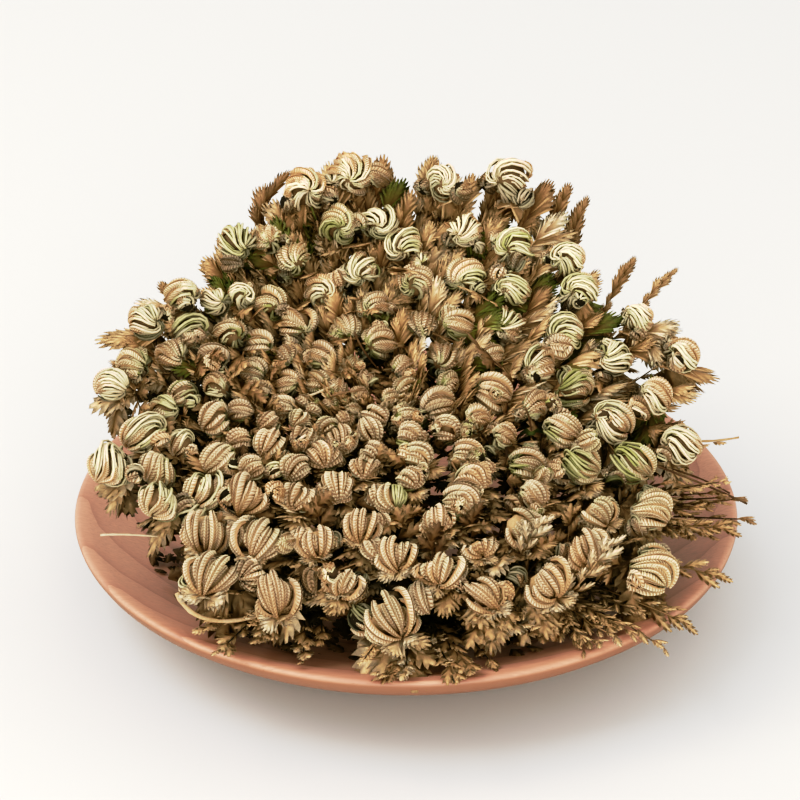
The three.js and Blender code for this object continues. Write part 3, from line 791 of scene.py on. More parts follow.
ribs = head_ribs(
    CENTRE, HEAD_SIZE, BASE, WHORL, NODE_OF_HEAD, n,
    cover=np.where(IS_FAN, 1.75 + 0.45 * draw(n, 18), 2.9 + 0.1 * draw(n, 18)),
    rib_width=np.where((SPLIT < 0.6) | (SHARE < 0.24), 2.2, 2.4 + 0.5 * draw(n, 16) - 0.5 * IS_FAN),
    age=HEAD_AGE, split=SPLIT, swirl=SWIRL * np.where(IS_FAN, 0.3, 1.0),
    uneven=0.1 + 0.12 * IS_FAN + 0.08 * draw(n, 55), wide=0.9 + (0.3 + 0.35 * IS_FAN) * draw(n, 56),
    tall=0.85 + 0.4 * draw(n, 57) + 0.1 * IS_FAN, flare=0.08 + 0.1 * draw(n, 58) + 0.22 * IS_FAN,
    tan=0.12 - 0.07 * OUTER, dive=0.08 + 0.14 * IS_FAN, pale=sunlit - 0.2 * IS_FAN - 0.25 * (1 - OUTER))
# The fans' balls are a lighter brown, the other heads' dark: painted shade seen between the ribs.
shaded_cores(CENTRE + 0.1 * col(IS_FAN * HEAD_SIZE) * TO_HEART, (0.78 - 0.1 * IS_FAN) * HEAD_SIZE, n,
      np.where(IS_FAN, 0.7, 0.85), np.where(IS_FAN, 0.3, -0.6), BLADES)
print("ribs on the heads:", ribs, " open fans:", int(IS_FAN.sum()))


# %% Places by the heads
def by_head(head, out=0.0, inward=0.0, across=0.0):
    """Points by heads: so many head sizes outward, inward and across from their centres."""
    way = col(out) * OUT[head] + col(inward) * INWARD[head] + col(across) * ACROSS[head]
    return CENTRE[head] + col(HEAD_SIZE[head]) * way


print("a head's top:", by_head([0], out=1.0).round(1).tolist())

# %% Small side curls
which = np.concatenate([np.flatnonzero(RADIUS > 4.8), np.flatnonzero(RADIUS > 7.0)])
turn = np.arange(len(which)) // np.sum(RADIUS > 4.8)
tag = which * 3.0 + turn
side = np.where((turn + which) % 2, 1.0, -1.0)
small_centre = by_head(which, -(0.1 + 0.9 * draw(tag, 22)), 0.9 * (draw(tag, 23) - 0.4),
                       side * (0.85 + 0.4 * draw(tag, 21)))
small_size = HEAD_SIZE[which] * (0.42 + 0.24 * draw(tag, 24))
ribs = head_ribs(
    small_centre, small_size, unit(BASE[which] + scatter(tag, 70, 1.0)),
    unit(WHORL[which] + scatter(tag, 74, 1.2)), NODE_OF_HEAD[which], tag + 500, cover=2.5, rib_width=2.6,
    age=HEAD_AGE[which] + 0.02, split=np.where(draw(tag, 27) > 0.4, 0.7, 0.4), swirl=vary(tag, 28, 2.0),
    uneven=0.1, wide=1.0, tall=0.9 + 0.5 * draw(tag, 29), flare=0.15, tan=0.08, dive=0.2, pale=0.0)
shaded_cores(small_centre, 0.8 * small_size, which)
print("side curls:", len(which), " ribs:", ribs)

# %% Collars of flat leaf under the fans
pick = np.tile(np.flatnonzero(IS_FAN), 6)
turn = np.arange(len(pick)) // int(np.sum(IS_FAN))
tag = pick * 7.0 + turn
swing = (turn - 2.5) * 0.72 + vary(tag, 221, 0.5)
heading = (col(np.cos(swing)) * (-0.35 * BASE[pick] - 0.8 * TO_HEART[pick])
           + col(np.sin(swing)) * ACROSS[pick] + 0.35 * BASE[pick] + scatter(tag, 222, 0.5))
long = (0.75 + 0.45 * draw(tag, 225)) * HEAD_SIZE[pick]
leaflets(LEAF, CENTRE[pick] + 0.75 * col(HEAD_SIZE[pick]) * BASE[pick], unit(heading),
         unit(UPWARD - 0.6 * TO_HEART[pick] + scatter(tag, 226, 0.8)), long, 0.42 * long, 0.4,
         0.44 + 0.2 * draw(tag, 229), 0.5 * draw(tag, 230), NODE_OF_HEAD[pick], droop=-0.2 * long,
         cup=0.1 * long, inner_age=0.6, fan=draw(tag, 231) > 0.4)
print("collar leaves:", len(pick))

# %% Knobs in the hollows of the heart
apart = np.linalg.norm(CENTRE[:, None] - CENTRE[None], axis=-1)
near = (apart < col((2.9 - 0.6 * SHARE) * RADIUS)) & (col(n) < n)
one, two = np.nonzero(near & (col(SHARE) < 0.72) & (draw(n, 201) > 0.3))
tag = one * 11.0 + two
knob_size = (0.3 + 0.22 * draw(tag, 202)) * RADIUS[one]
knob_centre = 0.5 * (CENTRE[one] + CENTRE[two]) + col((0.35 + 0.5 * draw(tag, 203)) * RADIUS[one]) * OUT[one]
knob_centre = knob_centre + scatter(tag, 204, 1.0) * col(RADIUS[one])
ribs = head_ribs(
    knob_centre, knob_size, unit(scatter(tag, 207, 1.0) - OUT[one]), unit(OUT[one] + scatter(tag, 211, 1.0)),
    NODE_OF_HEAD[one], tag + 900, cover=2.6, rib_width=2.3, age=0.3 + 0.22 * draw(tag, 214), split=0.8,
    swirl=vary(tag, 215, 1.5), uneven=0.1, wide=1.0, tall=0.8 + 0.5 * draw(tag, 216), flare=0.12, tan=0.08,
    dive=0.2, pale=0.0)
shaded_cores(knob_centre, 0.85 * knob_size, one)
print("knobs:", len(one), " ribs:", ribs)


# %% [markdown]
# ## Flat blades
# Below its curled tip a frond is a flat blade. Its branches lie in one plane, close together,
# with round lobes like an oak leaf. A spray is the fine form: a stalk with tongues left and
# right in turn, and two kites on each tongue. A frond is the broad form, with lobed leaves.

# %% Blades along a path
def bezier(a, b, c, count, far=1.0):
    """Points of the curves that leave a towards b and arrive at c: the quadratic Bezier sum, up
    to the share far of the way."""
    t = col(np.linspace(0.0, 1.0, count)) * np.reshape(far, (-1, 1, 1))
    return (1 - t) ** 2 * a[:, None] + 2 * t * (1 - t) * b[:, None] + t * t * c[:, None]


def swell(size, least, start, stop, count):
    """Leaf lengths along a path: from least, as a share of size, up to size and down again as
    the sine of pi times t, where t runs from start to stop and is held at 1."""
    t = np.minimum(1, np.linspace(start, stop, count))
    return col(size) * (least + (1 - least) * np.sin(PI * t))


def branches(path, face, side, angle, tilt):
    """Where leaves leave one side of paths (m, k, 3), half a step on for the right ones, and
    where they head: at an angle from the path, and tilted out of its plane."""
    m, k = path.shape[:2]
    along, across, up = frames(path, face)
    pitch = (lengths_along(path)[:, -1] / (k - 1))[:, None, None]
    heading = unit(np.cos(angle) * along + side * np.sin(angle) * across + tilt * up)
    return path + (0.25 * side + 0.25) * pitch * along, heading, across, up


def spray(path, face, reach, lobe, node, number, age, tone):
    """Pinnate sprays along paths (m, k, 3). At each station a tongue leaves to each side, as
    long as the reach over the sine of its angle, and bends back towards the stalk. It carries
    one kite on either side, as a tooth. Reach is (m, k), and lobe is the half width (m)."""
    m, k = path.shape[:2]
    tag = col(number) * 7.0 + np.arange(k)
    for side in (1.0, -1.0):
        angle = 0.55 * (0.75 + 0.5 * draw(tag, 61 + side))
        tilt = col(vary(tag, 65 + side, 0.5))
        foot, heading, across, up = branches(path, face, side, col(angle), tilt)
        length = reach / np.sin(angle) * (0.7 + 0.45 * draw(tag, 69 + side))
        wide = np.minimum(col(lobe) * (0.8 + 0.4 * draw(tag, 73 + side)), 0.45 * length)
        tones = col(tone) + vary(tag, 77 + side, 0.35)
        ages = col(age) + vary(tag, 81 + side, 0.10)
        keep = length > 0.9
        f, h, u, long, w, a, t = (v[keep] for v in (foot, heading, up, length, wide, ages, tones))
        inner, who = (np.broadcast_to(col(v), keep.shape)[keep] for v in (age + 0.08, node))
        sweep = -side * 0.14 * long
        leaflets(TONGUE, f, h, u, long, w, 0.2 + 0.12 * w, a, t, who, droop=0.1 * long, sweep=sweep,
                 inner_age=inner)
        right = unit(np.cross(h, u))
        for place, turn in ((0.46, 0.55), (0.62, -0.55)):
            start = f + col(place * long) * h - col(place**2 * 0.1 * long) * u
            start = start + col(place**2 * sweep + 0.3 * math.copysign(1, turn) * w) * right
            leaflets(KITE, start, unit(math.cos(turn) * h + math.sin(turn) * right), u, 0.8 + 0.26 * long,
                     0.72 * w, 0.24, a + 0.02, t, who)
    thin = np.broadcast_to(0.42 * np.linspace(1.0, 0.45, k), (m, k))
    tubes(path + 0.1 * frames(path, face)[2], face, thin, thin, WEDGE, age + 0.13, tone - 0.1, BLADES, node)


def frond(path, face, length, number, node, age, tone, inner_age, angle=0.5, slim=0.42, loose=1.0,
          fan=False):
    """Broad fronds along paths (m, k, 3): a lobed leaf to each side of every station, and one at
    the tip. Length is (m, k), and slim is the half width of a leaf over its length. Leaves
    stand out of the blade's plane as far as it is loose. Each of the last may be one a frond."""
    m, k = path.shape[:2]
    angle, slim, loose, fan, inner, who = (
        np.broadcast_to(col(np.broadcast_to(v, (m,))), (m, k))
        for v in (angle, slim, loose, fan, inner_age, node))
    tag = col(number) * 7.0 + np.arange(k)
    for side in (1.0, -1.0):
        lean = angle * (0.7 + 0.6 * draw(tag, 61 + side))
        tilt = col(0.5 * loose * vary(tag, 65 + side, 1.0))
        foot, heading, across, up = branches(path, face, side, col(lean), tilt)
        turned = unit(up + col(0.9 * loose * vary(tag, 67 + side, 1.0)) * across)
        long = length * (0.75 + 0.5 * draw(tag, 69 + side))
        wide = slim * (0.8 + 0.4 * draw(tag, 73 + side)) * long
        droop = 0.1 * long * (2.4 * draw(tag, 85 + side) - 0.6)
        ages, tones = col(age) + vary(tag, 81 + side, 0.16), col(tone) + vary(tag, 77 + side, 0.4)
        rows = [v.reshape(m * k, -1) for v in (foot, heading, turned)]
        rows += [v.ravel() for v in (long, wide, 0.1 + 0.04 * long, ages, tones, who)]
        leaflets(LEAF, *rows, droop=droop.ravel(), cup=0.05 * rows[3], sweep=-side * 0.1 * rows[3],
                 inner_age=inner.ravel(), fan=fan.ravel())
    along, across, up = frames(path, face)
    long = 1.15 * length[:, -1]
    leaflets(LEAF, path[:, -1], along[:, -1], up[:, -1], long, slim[:, 0] * long, 0.1 + 0.04 * long, age, tone,
             node, droop=0.05 * long, cup=0.05 * long, inner_age=inner_age, fan=fan[:, 0])
    thin = np.broadcast_to(0.5 * np.linspace(1.0, 0.5, k), (m, k))
    tubes(path, face, thin, thin, WEDGE, inner_age + 0.1, tone - 0.1, BLADES, node)


# %% The blade of each row of heads
def row_stations(row, stem_steps):
    """The path of a frond with several heads: out below them, from the crown's side to the last
    head, at half to more than three quarters of the way from the crown to the bowl."""
    ends = len(row) - 1
    i = np.arange(stem_steps + 2 * ends + 1)
    past = np.maximum(0, i - stem_steps) / (2 * ends)
    share = 0.5 * np.minimum(1, i / stem_steps) + 0.28 * past
    k = np.minimum(np.floor(ends * past).astype(int), ends - 1)
    part = col(ends * past - k)
    far = np.linalg.norm(CENTRE - CROWN, axis=1)
    heading, facing, surface = (
        v[row][k] + (v[row][k + 1] - v[row][k]) * part for v in (OUT, INWARD, col(far)))
    reach = STEM_START + (surface[:, 0] - STEM_START) * share
    reach[-1] = far[row[-1]] - 1.5 * RADIUS[row[-1]]
    return CROWN + unit(heading) * col(reach), unit(facing)


def resample(path, count):
    """A path of count points evenly along a given one, by linear interpolation of its length."""
    at = lengths_along(path[None])[0]
    want = np.linspace(0, at[-1], count)
    return np.stack([np.interp(want, at, path[:, c]) for c in range(3)], -1)


ROOT = CROWN + OUT * STEM_START
for nodes, stem_steps, blade, stations in ((range(13, 26), 1, 7.0, 8), (range(26, 47), 2, 9.5, 12)):
    paths, faces = [], []
    for number in nodes:
        points, facing = row_stations(ROWS[number], stem_steps)
        for head in ROWS[number]:
            ROOT[head] = points[np.argmin(np.linalg.norm(points - CENTRE[head], axis=1))]
        paths.append(resample(points, stations))
        faces.append(unit(resample(facing, stations)))
    which = np.array(nodes)
    frond(np.stack(paths), np.stack(faces), swell(np.full(len(which), blade), 0.3, 0.0, 1.05, stations),
          which + 900.0, which, 0.64 + 0.14 * draw(which, 91), 0.3 + 0.2 * draw(which, 92),
          0.6 + 0.2 * draw(which, 93), angle=0.4, slim=0.3)
    print("rows with blades of", blade, "mm:", len(which))

# %% Necks and backing blades
BEHIND = ease((CENTRE[:, 1] + 25) / 35)
EDGE = ease((np.abs(CENTRE[:, 0] - 6) - 30) / 20) * ease((SHARE - 0.7) / 0.15)
HIGH_HEAD = 112
for turn in range(3):
    pick = np.flatnonzero((RADIUS > (0.0, 3.6, 5.0)[turn]) & ((SHARE > 0.36) | (turn == 0)))
    tag = pick * 5.0 + turn
    centre, root, behind, r = CENTRE[pick], ROOT[pick], BEHIND[pick], col(HEAD_SIZE[pick])
    sway = np.sin(vary(tag, 101, (0.6, 2.2, 3.0)[turn]))
    highest = (centre[:, 2] > HIGH_HEAD) & (np.abs(centre[:, 0] - 24) > 9)
    tall = behind * (0.05 + 0.75 * draw(tag, 110)) * ~highest - 0.9 * highest - 1.2 * EDGE[pick]
    rise = (0.3 + 0.35 * draw(tag, 102)) * (turn > 0) + 0.3 * behind
    bend = by_head(pick, -0.9, -0.5 - 0.5 * draw(tag, 103), 0.6 * sway)
    end = by_head(pick, 0.5 * draw(tag, 104) - 0.3 + tall, -0.9 - 0.4 * draw(tag, 105), 1.3 * sway)
    k = 4 if turn == 0 else 3
    long = (2.4 + 1.05 * r) * (1.2, 1.0, 1.0)[turn] * np.array([1.0, 1.1, 1.05, 0.9])[4 - k:]
    long = long * col((1 + 0.35 * behind) * (0.55 + 0.45 * ease((SHARE[pick] - 0.2) / 0.25)))
    dry = 0.53 + 0.24 * draw(tag, 106) - 0.04 * behind
    green = draw(tag, 107) < 0.3 * (SHARE[pick] < 0.9) * (centre[:, 1] > -20)
    # Blades behind the heart get a brighter tone, by 0.55 times behind: painted light.
    frond(bezier(root + (centre - root) * col(rise), bend, end, k),
          unit(INWARD[pick] + 0.4 * OUT[pick] + col(0.4 * sway) * ACROSS[pick])[:, None], long,
          tag + 2000.0, NODE_OF_HEAD[pick], np.where(green, 0.06 + 0.14 * draw(tag, 108), dry),
          0.35 + 0.55 * behind + 0.4 * draw(tag, 109), np.where(green, 0.02, dry + 0.1),
          angle=0.5 - 0.25 * behind, slim=0.46 - 0.14 * behind, loose=1 - 0.6 * behind,
          fan=draw(tag, 113) < 0.4 + behind)
    print("necks and backing blades:", len(pick))

# %% Mats of dead leaf between the heads
for turn in range(3):
    extra = turn > 1
    pick = np.flatnonzero(((BEHIND > 0.5) | (turn == 0)) & ((turn < 2) | (SHARE < 0.8) & (SHARE > 0.15)))
    tag, r = pick * 9.0 + turn, col(HEAD_SIZE[pick])
    stand = (BEHIND[pick] > 0.5) & (turn < 2)
    bearing, half = 2 * PI * draw(tag, 171), 1.0 + 0.5 * draw(tag, 173) + 0.5 * extra
    deep, left, up = -1.3 - 0.6 * draw(tag, 172), half * np.cos(bearing), half * np.sin(bearing)
    beside = (1 - 2 * turn) * (0.9 + 0.4 * draw(tag, 177))
    tall = 0.7 * draw(tag, 178) - 0.75 - 1.1 * EDGE[pick] - 0.5 * (CENTRE[pick, 2] > HIGH_HEAD)
    foot = np.where(col(stand), by_head(pick, -2.4, -0.9, 0.8 * beside), by_head(pick, deep, -up, -left))
    top = np.where(col(stand), by_head(pick, tall, -1.1, beside), by_head(pick, deep, up, left))
    long = np.where(col(stand), 4.5 + 0.9 * r, 2.6 + 0.6 * r + extra) * np.array([1.0, 1.15, 1.0])
    age = 0.56 + 0.25 * draw(tag, 174) + 0.1 * ~stand
    # Mats behind the heart get a brighter tone, by 0.55 times BEHIND: painted light.
    frond(bezier(foot, 0.5 * (foot + top) - 0.2 * r * INWARD[pick] * col(stand), top, 3),
          np.where(col(stand), INWARD[pick], OUT[pick])[:, None], long, tag + 7000, NODE_OF_HEAD[pick],
          age, 0.3 + 0.55 * BEHIND[pick] + 0.45 * draw(tag, 175), age + 0.1,
          angle=np.where(stand, 0.26, 0.8), slim=np.where(stand, 0.3, 0.44),
          loose=np.where(stand, 0.4, 1.0), fan=stand)
    print("mats:", len(pick))

# %% [markdown]
# ## The skirt of old fronds
# Below the rolled heads lie old flat fronds that have died. They fan out over the dish at the
# front and stand up behind the heads at the back. Each follows the same curve as its plain solid
# and gets four forks, then shorter sprays that fill the room between it and its neighbours.

# %% Curves of the old fronds
def dish_face(radius):
    """The height of the dish's upper face: 8 on the floor, then a slow curve up to the rim."""
    t = np.maximum(0.0, (radius - 40.0) / 67.0)
    return 8.0 + 22.0 * (0.62 * t + 0.38 * t * t)


def clear_of_dish(points, gap=2.4):
    """Points lifted so that they stay a gap above the dish's face and rim."""
    radius = np.hypot(points[..., 0], points[..., 1])
    rim = np.where(np.abs(radius - 110.0) < 8.0, 30.0 + gap, 0.0)
    low = np.where(radius < 110.0, np.maximum(rim, dish_face(radius) + gap), rim)
    lifted = points.copy()
    lifted[..., 2] = np.maximum(points[..., 2], low)
    return lifted


def level_way(azimuth):
    """Level unit vectors at azimuths."""
    return np.stack([np.cos(azimuth), np.sin(azimuth), 0 * azimuth], -1)


def facing(path):
    """The unit vectors from each point towards the focus above the heart."""
    return unit(FOCUS - path)


def bowl_end(azimuth, share, beyond, drop, lowest, highest=200.0):
    """Points at a share of the bowl and beyond it, lowered by drop and held between heights."""
    end = bowl_point(share, azimuth) + level_way(azimuth) * col(beyond)
    end[:, 2] = np.clip(end[:, 2] - drop, lowest, highest)
    return end


outermost = np.sort(np.mod((HEADS - 1 - np.arange(21)) * GOLDEN_ANGLE, 2 * PI))
k = np.arange(11)
gap_number = np.floor(k * 21 / 11 + 0.5).astype(int) % 21
following = np.where(gap_number == 20, outermost[0] + 2 * PI, outermost[(gap_number + 1) % 21])
DRY_AZIMUTH = (outermost[gap_number] + following) / 2
front = np.maximum(0, -np.sin(DRY_AZIMUTH)) ** 2
DRY_END = bowl_end(DRY_AZIMUTH, np.minimum(1, rim_reach(DRY_AZIMUTH)), 14 + 6 * front, 10, 26)
heading = DRY_END - CROWN
level = unit(heading * [1, 1, 0])
climb = 0.3 * np.arctan2(heading[:, 2], np.hypot(heading[:, 0], heading[:, 1]))
DRY_START = CROWN + STEM_START * (level * col(np.cos(climb)) + UPWARD * col(np.sin(climb)))
DRY_BEND = DRY_START + 0.45 * (DRY_END - DRY_START) - 0.12 * heading * UPWARD
DRY_ACROSS = np.cross(level, UPWARD)
DRY_NODE = 47 + k
DRY_AGE = 0.56 + 0.26 * draw(k, 111)
UPRIGHT = ease((np.sin(DRY_AZIMUTH) + 0.1) / 0.5)
FLAT = ease((np.cos(DRY_AZIMUTH) - 0.2) / 0.5) * (1 - UPRIGHT)
MANNER = dict(angle=0.5 - 0.24 * UPRIGHT, slim=0.4 - 0.1 * UPRIGHT - 0.2 * FLAT,
              loose=1 - 0.6 * UPRIGHT - 0.7 * FLAT, fan=UPRIGHT > 0.4)
print("old fronds at azimuths", np.degrees(DRY_AZIMUTH).round().astype(int).tolist())


# %% Main blades and forks
def trimmed(azimuth):
    """The share of a frond's reach that its leaves leave free at the tip, so that they end where
    the plain solid does: most on the left and on the right behind."""
    c, s = np.cos(azimuth), np.sin(azimuth)
    right_behind = 0.2 * ease((c - 0.3) / 0.5) * ease((s + 0.05) / 0.3)
    return 0.27 * ease((-c - 0.3) / 0.5) + right_behind + 0.09 * ease((s + 0.1) / 0.5)


spine = bezier(DRY_START, DRY_BEND, DRY_END, 12, 1 - trimmed(DRY_AZIMUTH))
frond(clear_of_dish(spine), facing(spine), swell(10.0 + 3.0 * UPRIGHT, 0.3, 0.12, 0.92, 12), k + 3000.0,
      DRY_NODE, DRY_AGE, 0.45 + 0.3 * draw(k, 112), DRY_AGE + 0.1, **MANNER)
for f, (root, side) in enumerate(((0.36, 1), (0.45, -1), (0.56, 1), (0.66, -1))):
    start, stop = spine[:, int(root * 11)], spine[:, -1] - 0.2 * (1 - root) * heading
    stop = stop + col(side * (5 + 12 * draw(k, 50 + f))) * DRY_ACROSS
    stop[:, 2] += 3.0 * (draw(k, 120 + f) - 0.4)
    path = bezier(start, 0.5 * (start + stop), stop, 6)
    frond(clear_of_dish(path), facing(path), swell(8.5 + 3.0 * UPRIGHT, 0.4, 0.2, 0.9, 6),
          k + 3100.0 + 20 * f, DRY_NODE, DRY_AGE + vary(k, 130 + f, 0.1), 0.4 + 0.4 * draw(k, 140 + f),
          DRY_AGE + 0.1, **MANNER)
print("old fronds dressed:", len(k))

# %% Skirt sprays between the old fronds
for turn in range(12):
    tag = k * 13.0 + turn
    azimuth = DRY_AZIMUTH + vary(tag, 151, 0.62)
    trim = trimmed(azimuth)
    share = np.minimum(1, rim_reach(azimuth)) * (0.74 + 0.26 * draw(tag, 152)) * (1 - 0.7 * trim)
    room = 16 * draw(tag, 153) * (share > 0.8) * (1 - np.minimum(1, 6 * trim))
    end = bowl_end(azimuth, share, room, 3 + 12 * draw(tag, 154), 26, 122)
    root = spine[k, (2 + 5 * draw(tag, 155)).astype(int)]
    middle = 0.5 * (root + end) - 0.10 * (end - root) * UPWARD
    age, tone, size = 0.53 + 0.32 * draw(tag, 158), 0.4 + 0.5 * draw(tag, 159), draw(tag, 156)
    if turn % 3:
        path = bezier(root, middle, end, 6)
        manner = {**MANNER, "slim": 0.46 - 0.14 * UPRIGHT - 0.24 * FLAT,
                  "fan": draw(tag, 160) < 0.5 + UPRIGHT - FLAT}
        frond(clear_of_dish(path), facing(path), swell(6.5 + 3.0 * size, 0.4, 0.15, 0.9, 6), tag + 4000,
              DRY_NODE, age, tone, age + 0.1, **manner)
    else:
        path = bezier(root, middle, end, 20)
        spray(clear_of_dish(path), facing(path), swell(2.2 + 1.6 * size + 2.0 * FLAT, 0.2, 0.1, 0.94, 20),
              0.5 + 0.3 * draw(tag, 157), DRY_NODE, tag + 4000, age, tone)
print("skirt sprays:", 12 * len(k))

# %% Lacy sprays over the right of the dish
side_fronds = np.flatnonzero(FLAT > 0.3)
for turn in range(10):
    tag = side_fronds * 19.0 + turn + 400
    azimuth = DRY_AZIMUTH[side_fronds] + vary(tag, 241, 0.7)
    share = np.minimum(1, rim_reach(azimuth)) * (0.8 + 0.2 * draw(tag, 242))
    end = bowl_end(azimuth, share, 14 * draw(tag, 243), 8 + 12 * draw(tag, 244), 30, 90)
    root = spine[side_fronds, (3 + 4 * draw(tag, 245)).astype(int)]
    path = clear_of_dish(bezier(root, 0.5 * (root + end), end, 13))
    frond(path, unit(facing(path) + 0.8 * UPWARD), swell(4.6 + 2.4 * draw(tag, 246), 0.35, 0.12, 0.84, 13),
          tag + 5000, DRY_NODE[side_fronds], 0.58 + 0.2 * draw(tag, 247), 0.4 + 0.5 * draw(tag, 248),
          np.full(len(tag), 0.72), angle=0.62, slim=0.24, loose=0.2)
print("lacy sprays:", 10 * len(side_fronds))

# %% [markdown]
# ## Standing blades, litter and straws
# Some old blades stand up behind the heads as flat fans of straps, and some fan out over the
# right of the dish. Their places are given one by one, because the eye picks them out against
# the pale ground. Crumbled leaf and a few straws and roots lie loose below and among the fronds.

# %% Standing blades
LITTER, STRAWS = len(NODES), len(NODES) + 1
STANDING = np.array([
    # foot, bend and tip, then the length of a strap, the age and the number of the old frond
    (-40, 56, 84, -58, 60, 106, -40, 58, 119, 10, 0.84, 3), (-53, 40, 72, -63, 42, 88, -57, 41, 104, 12, 0.64, 3),
    (-48, 46, 76, -56, 46, 90, -50, 47, 102, 11, 0.58, 3), (-2, 66, 90, -4, 68, 104, -6, 69, 116, 10, 0.74, 2),
    (7, 68, 92, 5, 70, 106, 9, 71, 119, 10, 0.62, 2), (13, 68, 92, 13, 72, 104, 10, 73, 115, 9, 0.7, 2),
    (50, 56, 84, 48, 62, 100, 54, 62, 111, 9, 0.8, 1), (54, 56, 84, 57, 62, 98, 60, 62, 106, 8, 0.78, 1),
    (66, 44, 74, 72, 50, 84, 76, 51, 91, 6, 0.72, 0), (74, 40, 72, 82, 47, 80, 90, 49, 89, 6, 0.66, 0),
    (34, -58, 34, 34, -72, 52, 41, -74, 64, 9, 0.48, 9), (46, -66, 28, 54, -82, 48, 61, -79, 60, 8, 0.5, 9),
    (64, -44, 36, 84, -58, 38, 97, -66, 40, 8, 0.66, 10), (70, -36, 40, 88, -42, 44, 101, -48, 46, 8, 0.7, 10),
    (60, -60, 32, 76, -76, 34, 84, -86, 36, 8, 0.62, 9), (-30, 50, 84, -31, 56, 96, -28, 60, 108, 10, 0.78, 3),
    (-66, 26, 72, -74, 30, 82, -80, 30, 92, 8, 0.7, 4), (26, 60, 88, 26, 66, 100, 29, 66, 110, 8, 0.72, 1),
])
foot, bend, tip, rest = np.split(STANDING, (3, 6, 9), 1)
count, in_front = np.arange(len(STANDING)), foot[:, 1] < 0
frond(bezier(foot, bend, tip, 5, 0.82), np.array([[[0.0, -0.9, 0.45]]]),
      rest[:, 0:1] * np.array([0.9, 1.1, 1.15, 1.0, 0.8]), count + 8000.0, 47 + rest[:, 2].astype(int),
      rest[:, 1], 0.4 + 0.3 * draw(count, 181), rest[:, 1] + 0.08, angle=np.where(in_front, 0.42, 0.24),
      slim=np.where(in_front, 0.2, 0.26), loose=0.3, fan=~in_front)
print("standing blades:", len(STANDING))

# %% Leaf litter
i = np.arange(280)
out = 20 + 64 * np.sqrt((i + 0.5) / len(i))
turn = i * GOLDEN_ANGLE + 0.6 * draw(i, 191)
turn = np.where(np.sin(turn) > 0.2, -turn, turn)
foot = np.stack([out * np.cos(turn), out * np.sin(turn) - 6, dish_face(out) + 1.0 + 2.5 * draw(i, 192)], -1)
heading = level_way(2 * PI * draw(i, 193)) + col(0.5 * (draw(i, 194) - 0.3)) * UPWARD
long = 4.0 + 5.0 * draw(i, 195)
# The litter's tone runs from -1.1 to 0: brown dead leaf darkened with painted shade where it lies under the
# fronds.
leaflets(LEAF, foot, unit(heading), unit(UPWARD + scatter(i, 196, 0.9)), long, 0.42 * long, 0.5,
         0.8 + 0.2 * draw(i, 199), -1.1 + 1.1 * draw(i, 200), LITTER, droop=0.1 * long, cup=0.1 * long,
         inner_age=0.95)
print("leaves in the litter:", len(i))

# %% Straws and loose roots
STRAW = np.array([
    # start, bend and end, then the radius and the age
    (-56, -44, 64, -53, -45, 60, -49, -44, 52, 0.7, 0.46), (-94, -62, 52, -88, -61, 52, -76, -58, 49, 0.35, 0.5),
    (-69, -84, 45, -64, -88, 33, -44, -84, 37, 0.8, 0.6), (38, -16, 72, 41, -16, 66, 40, -16, 57, 0.35, 0.98),
    (-17, 18, 82, -15, 17, 76, -9, 18, 68, 0.4, 0.98), (-41, 0, 64, -32, -2, 68, -23, -2, 73, 0.5, 0.46),
    (-61, -8, 72, -55, -9, 66, -52, -8, 58, 0.4, 1.0), (-43, -50, 56, -36, -52, 54, -27, -50, 54, 0.35, 0.95),
    (-33, -80, 43, -24, -83, 51, -15, -80, 53, 0.3, 0.9), (-87, -45, 59, -82, -46, 58, -72, -42, 52, 0.3, 1.0),
    (-90, -40, 57, -82, -42, 54, -70, -38, 52, 0.3, 0.95), (84, -8, 56, 98, -6, 53, 109, -5, 55, 0.45, 0.7),
    (78, -28, 58, 96, -31, 52, 109, -31, 45, 0.4, 0.98), (76, -24, 56, 92, -24, 53, 104, -26, 46, 0.35, 1.0),
    (-14, -98, 30, -8, -100, 33, 2, -99, 31, 0.4, 0.9), (-24, -12, 74, -18, -12, 76, -13, -8, 74, 0.35, 0.9),
])
foot, bend, tip, rest = np.split(STRAW, (3, 6, 9), 1)
ringed = rest[:, 0:1] * (1 + 0.15 * np.sin(2.4 * np.arange(12))) * np.linspace(1, 0.8, 12)
tubes(bezier(foot, bend, tip, 12), np.array([[[0.0, -0.5, 0.86]]]), ringed, ringed, ROUND, rest[:, 1],
      np.full(len(STRAW), 0.15), BLADES, STRAWS, below=0.5)
print("straws:", len(STRAW))

# %% [markdown]
# ## Making the pieces
# Each frond's shells are now gathered from all batches and become one mesh, which takes the
# place of that frond's plain solid. Scale leaves are shaded flat, so that each one catches the
# light by itself, and all else is smooth.

# %% From shells to meshes
LOW, HIGH = np.array(CAD_LOW) / MM, np.array(CAD_HIGH) / MM
# For each finish: where the painted shade starts, over what depth, its strength, and the strength of painted
# shade in a crevice.
PAINTED_SHADE_BY_FINISH = {SCALES: (1.0, 6.0, 0.8, 1.2), STRANDS: (1.0, 6.0, 0.8, 1.3), BLADES: (5.0, 11.0, 2.0, 0.35),
           STEMS: (0.0, 7.0, 1.6, 0.6)}


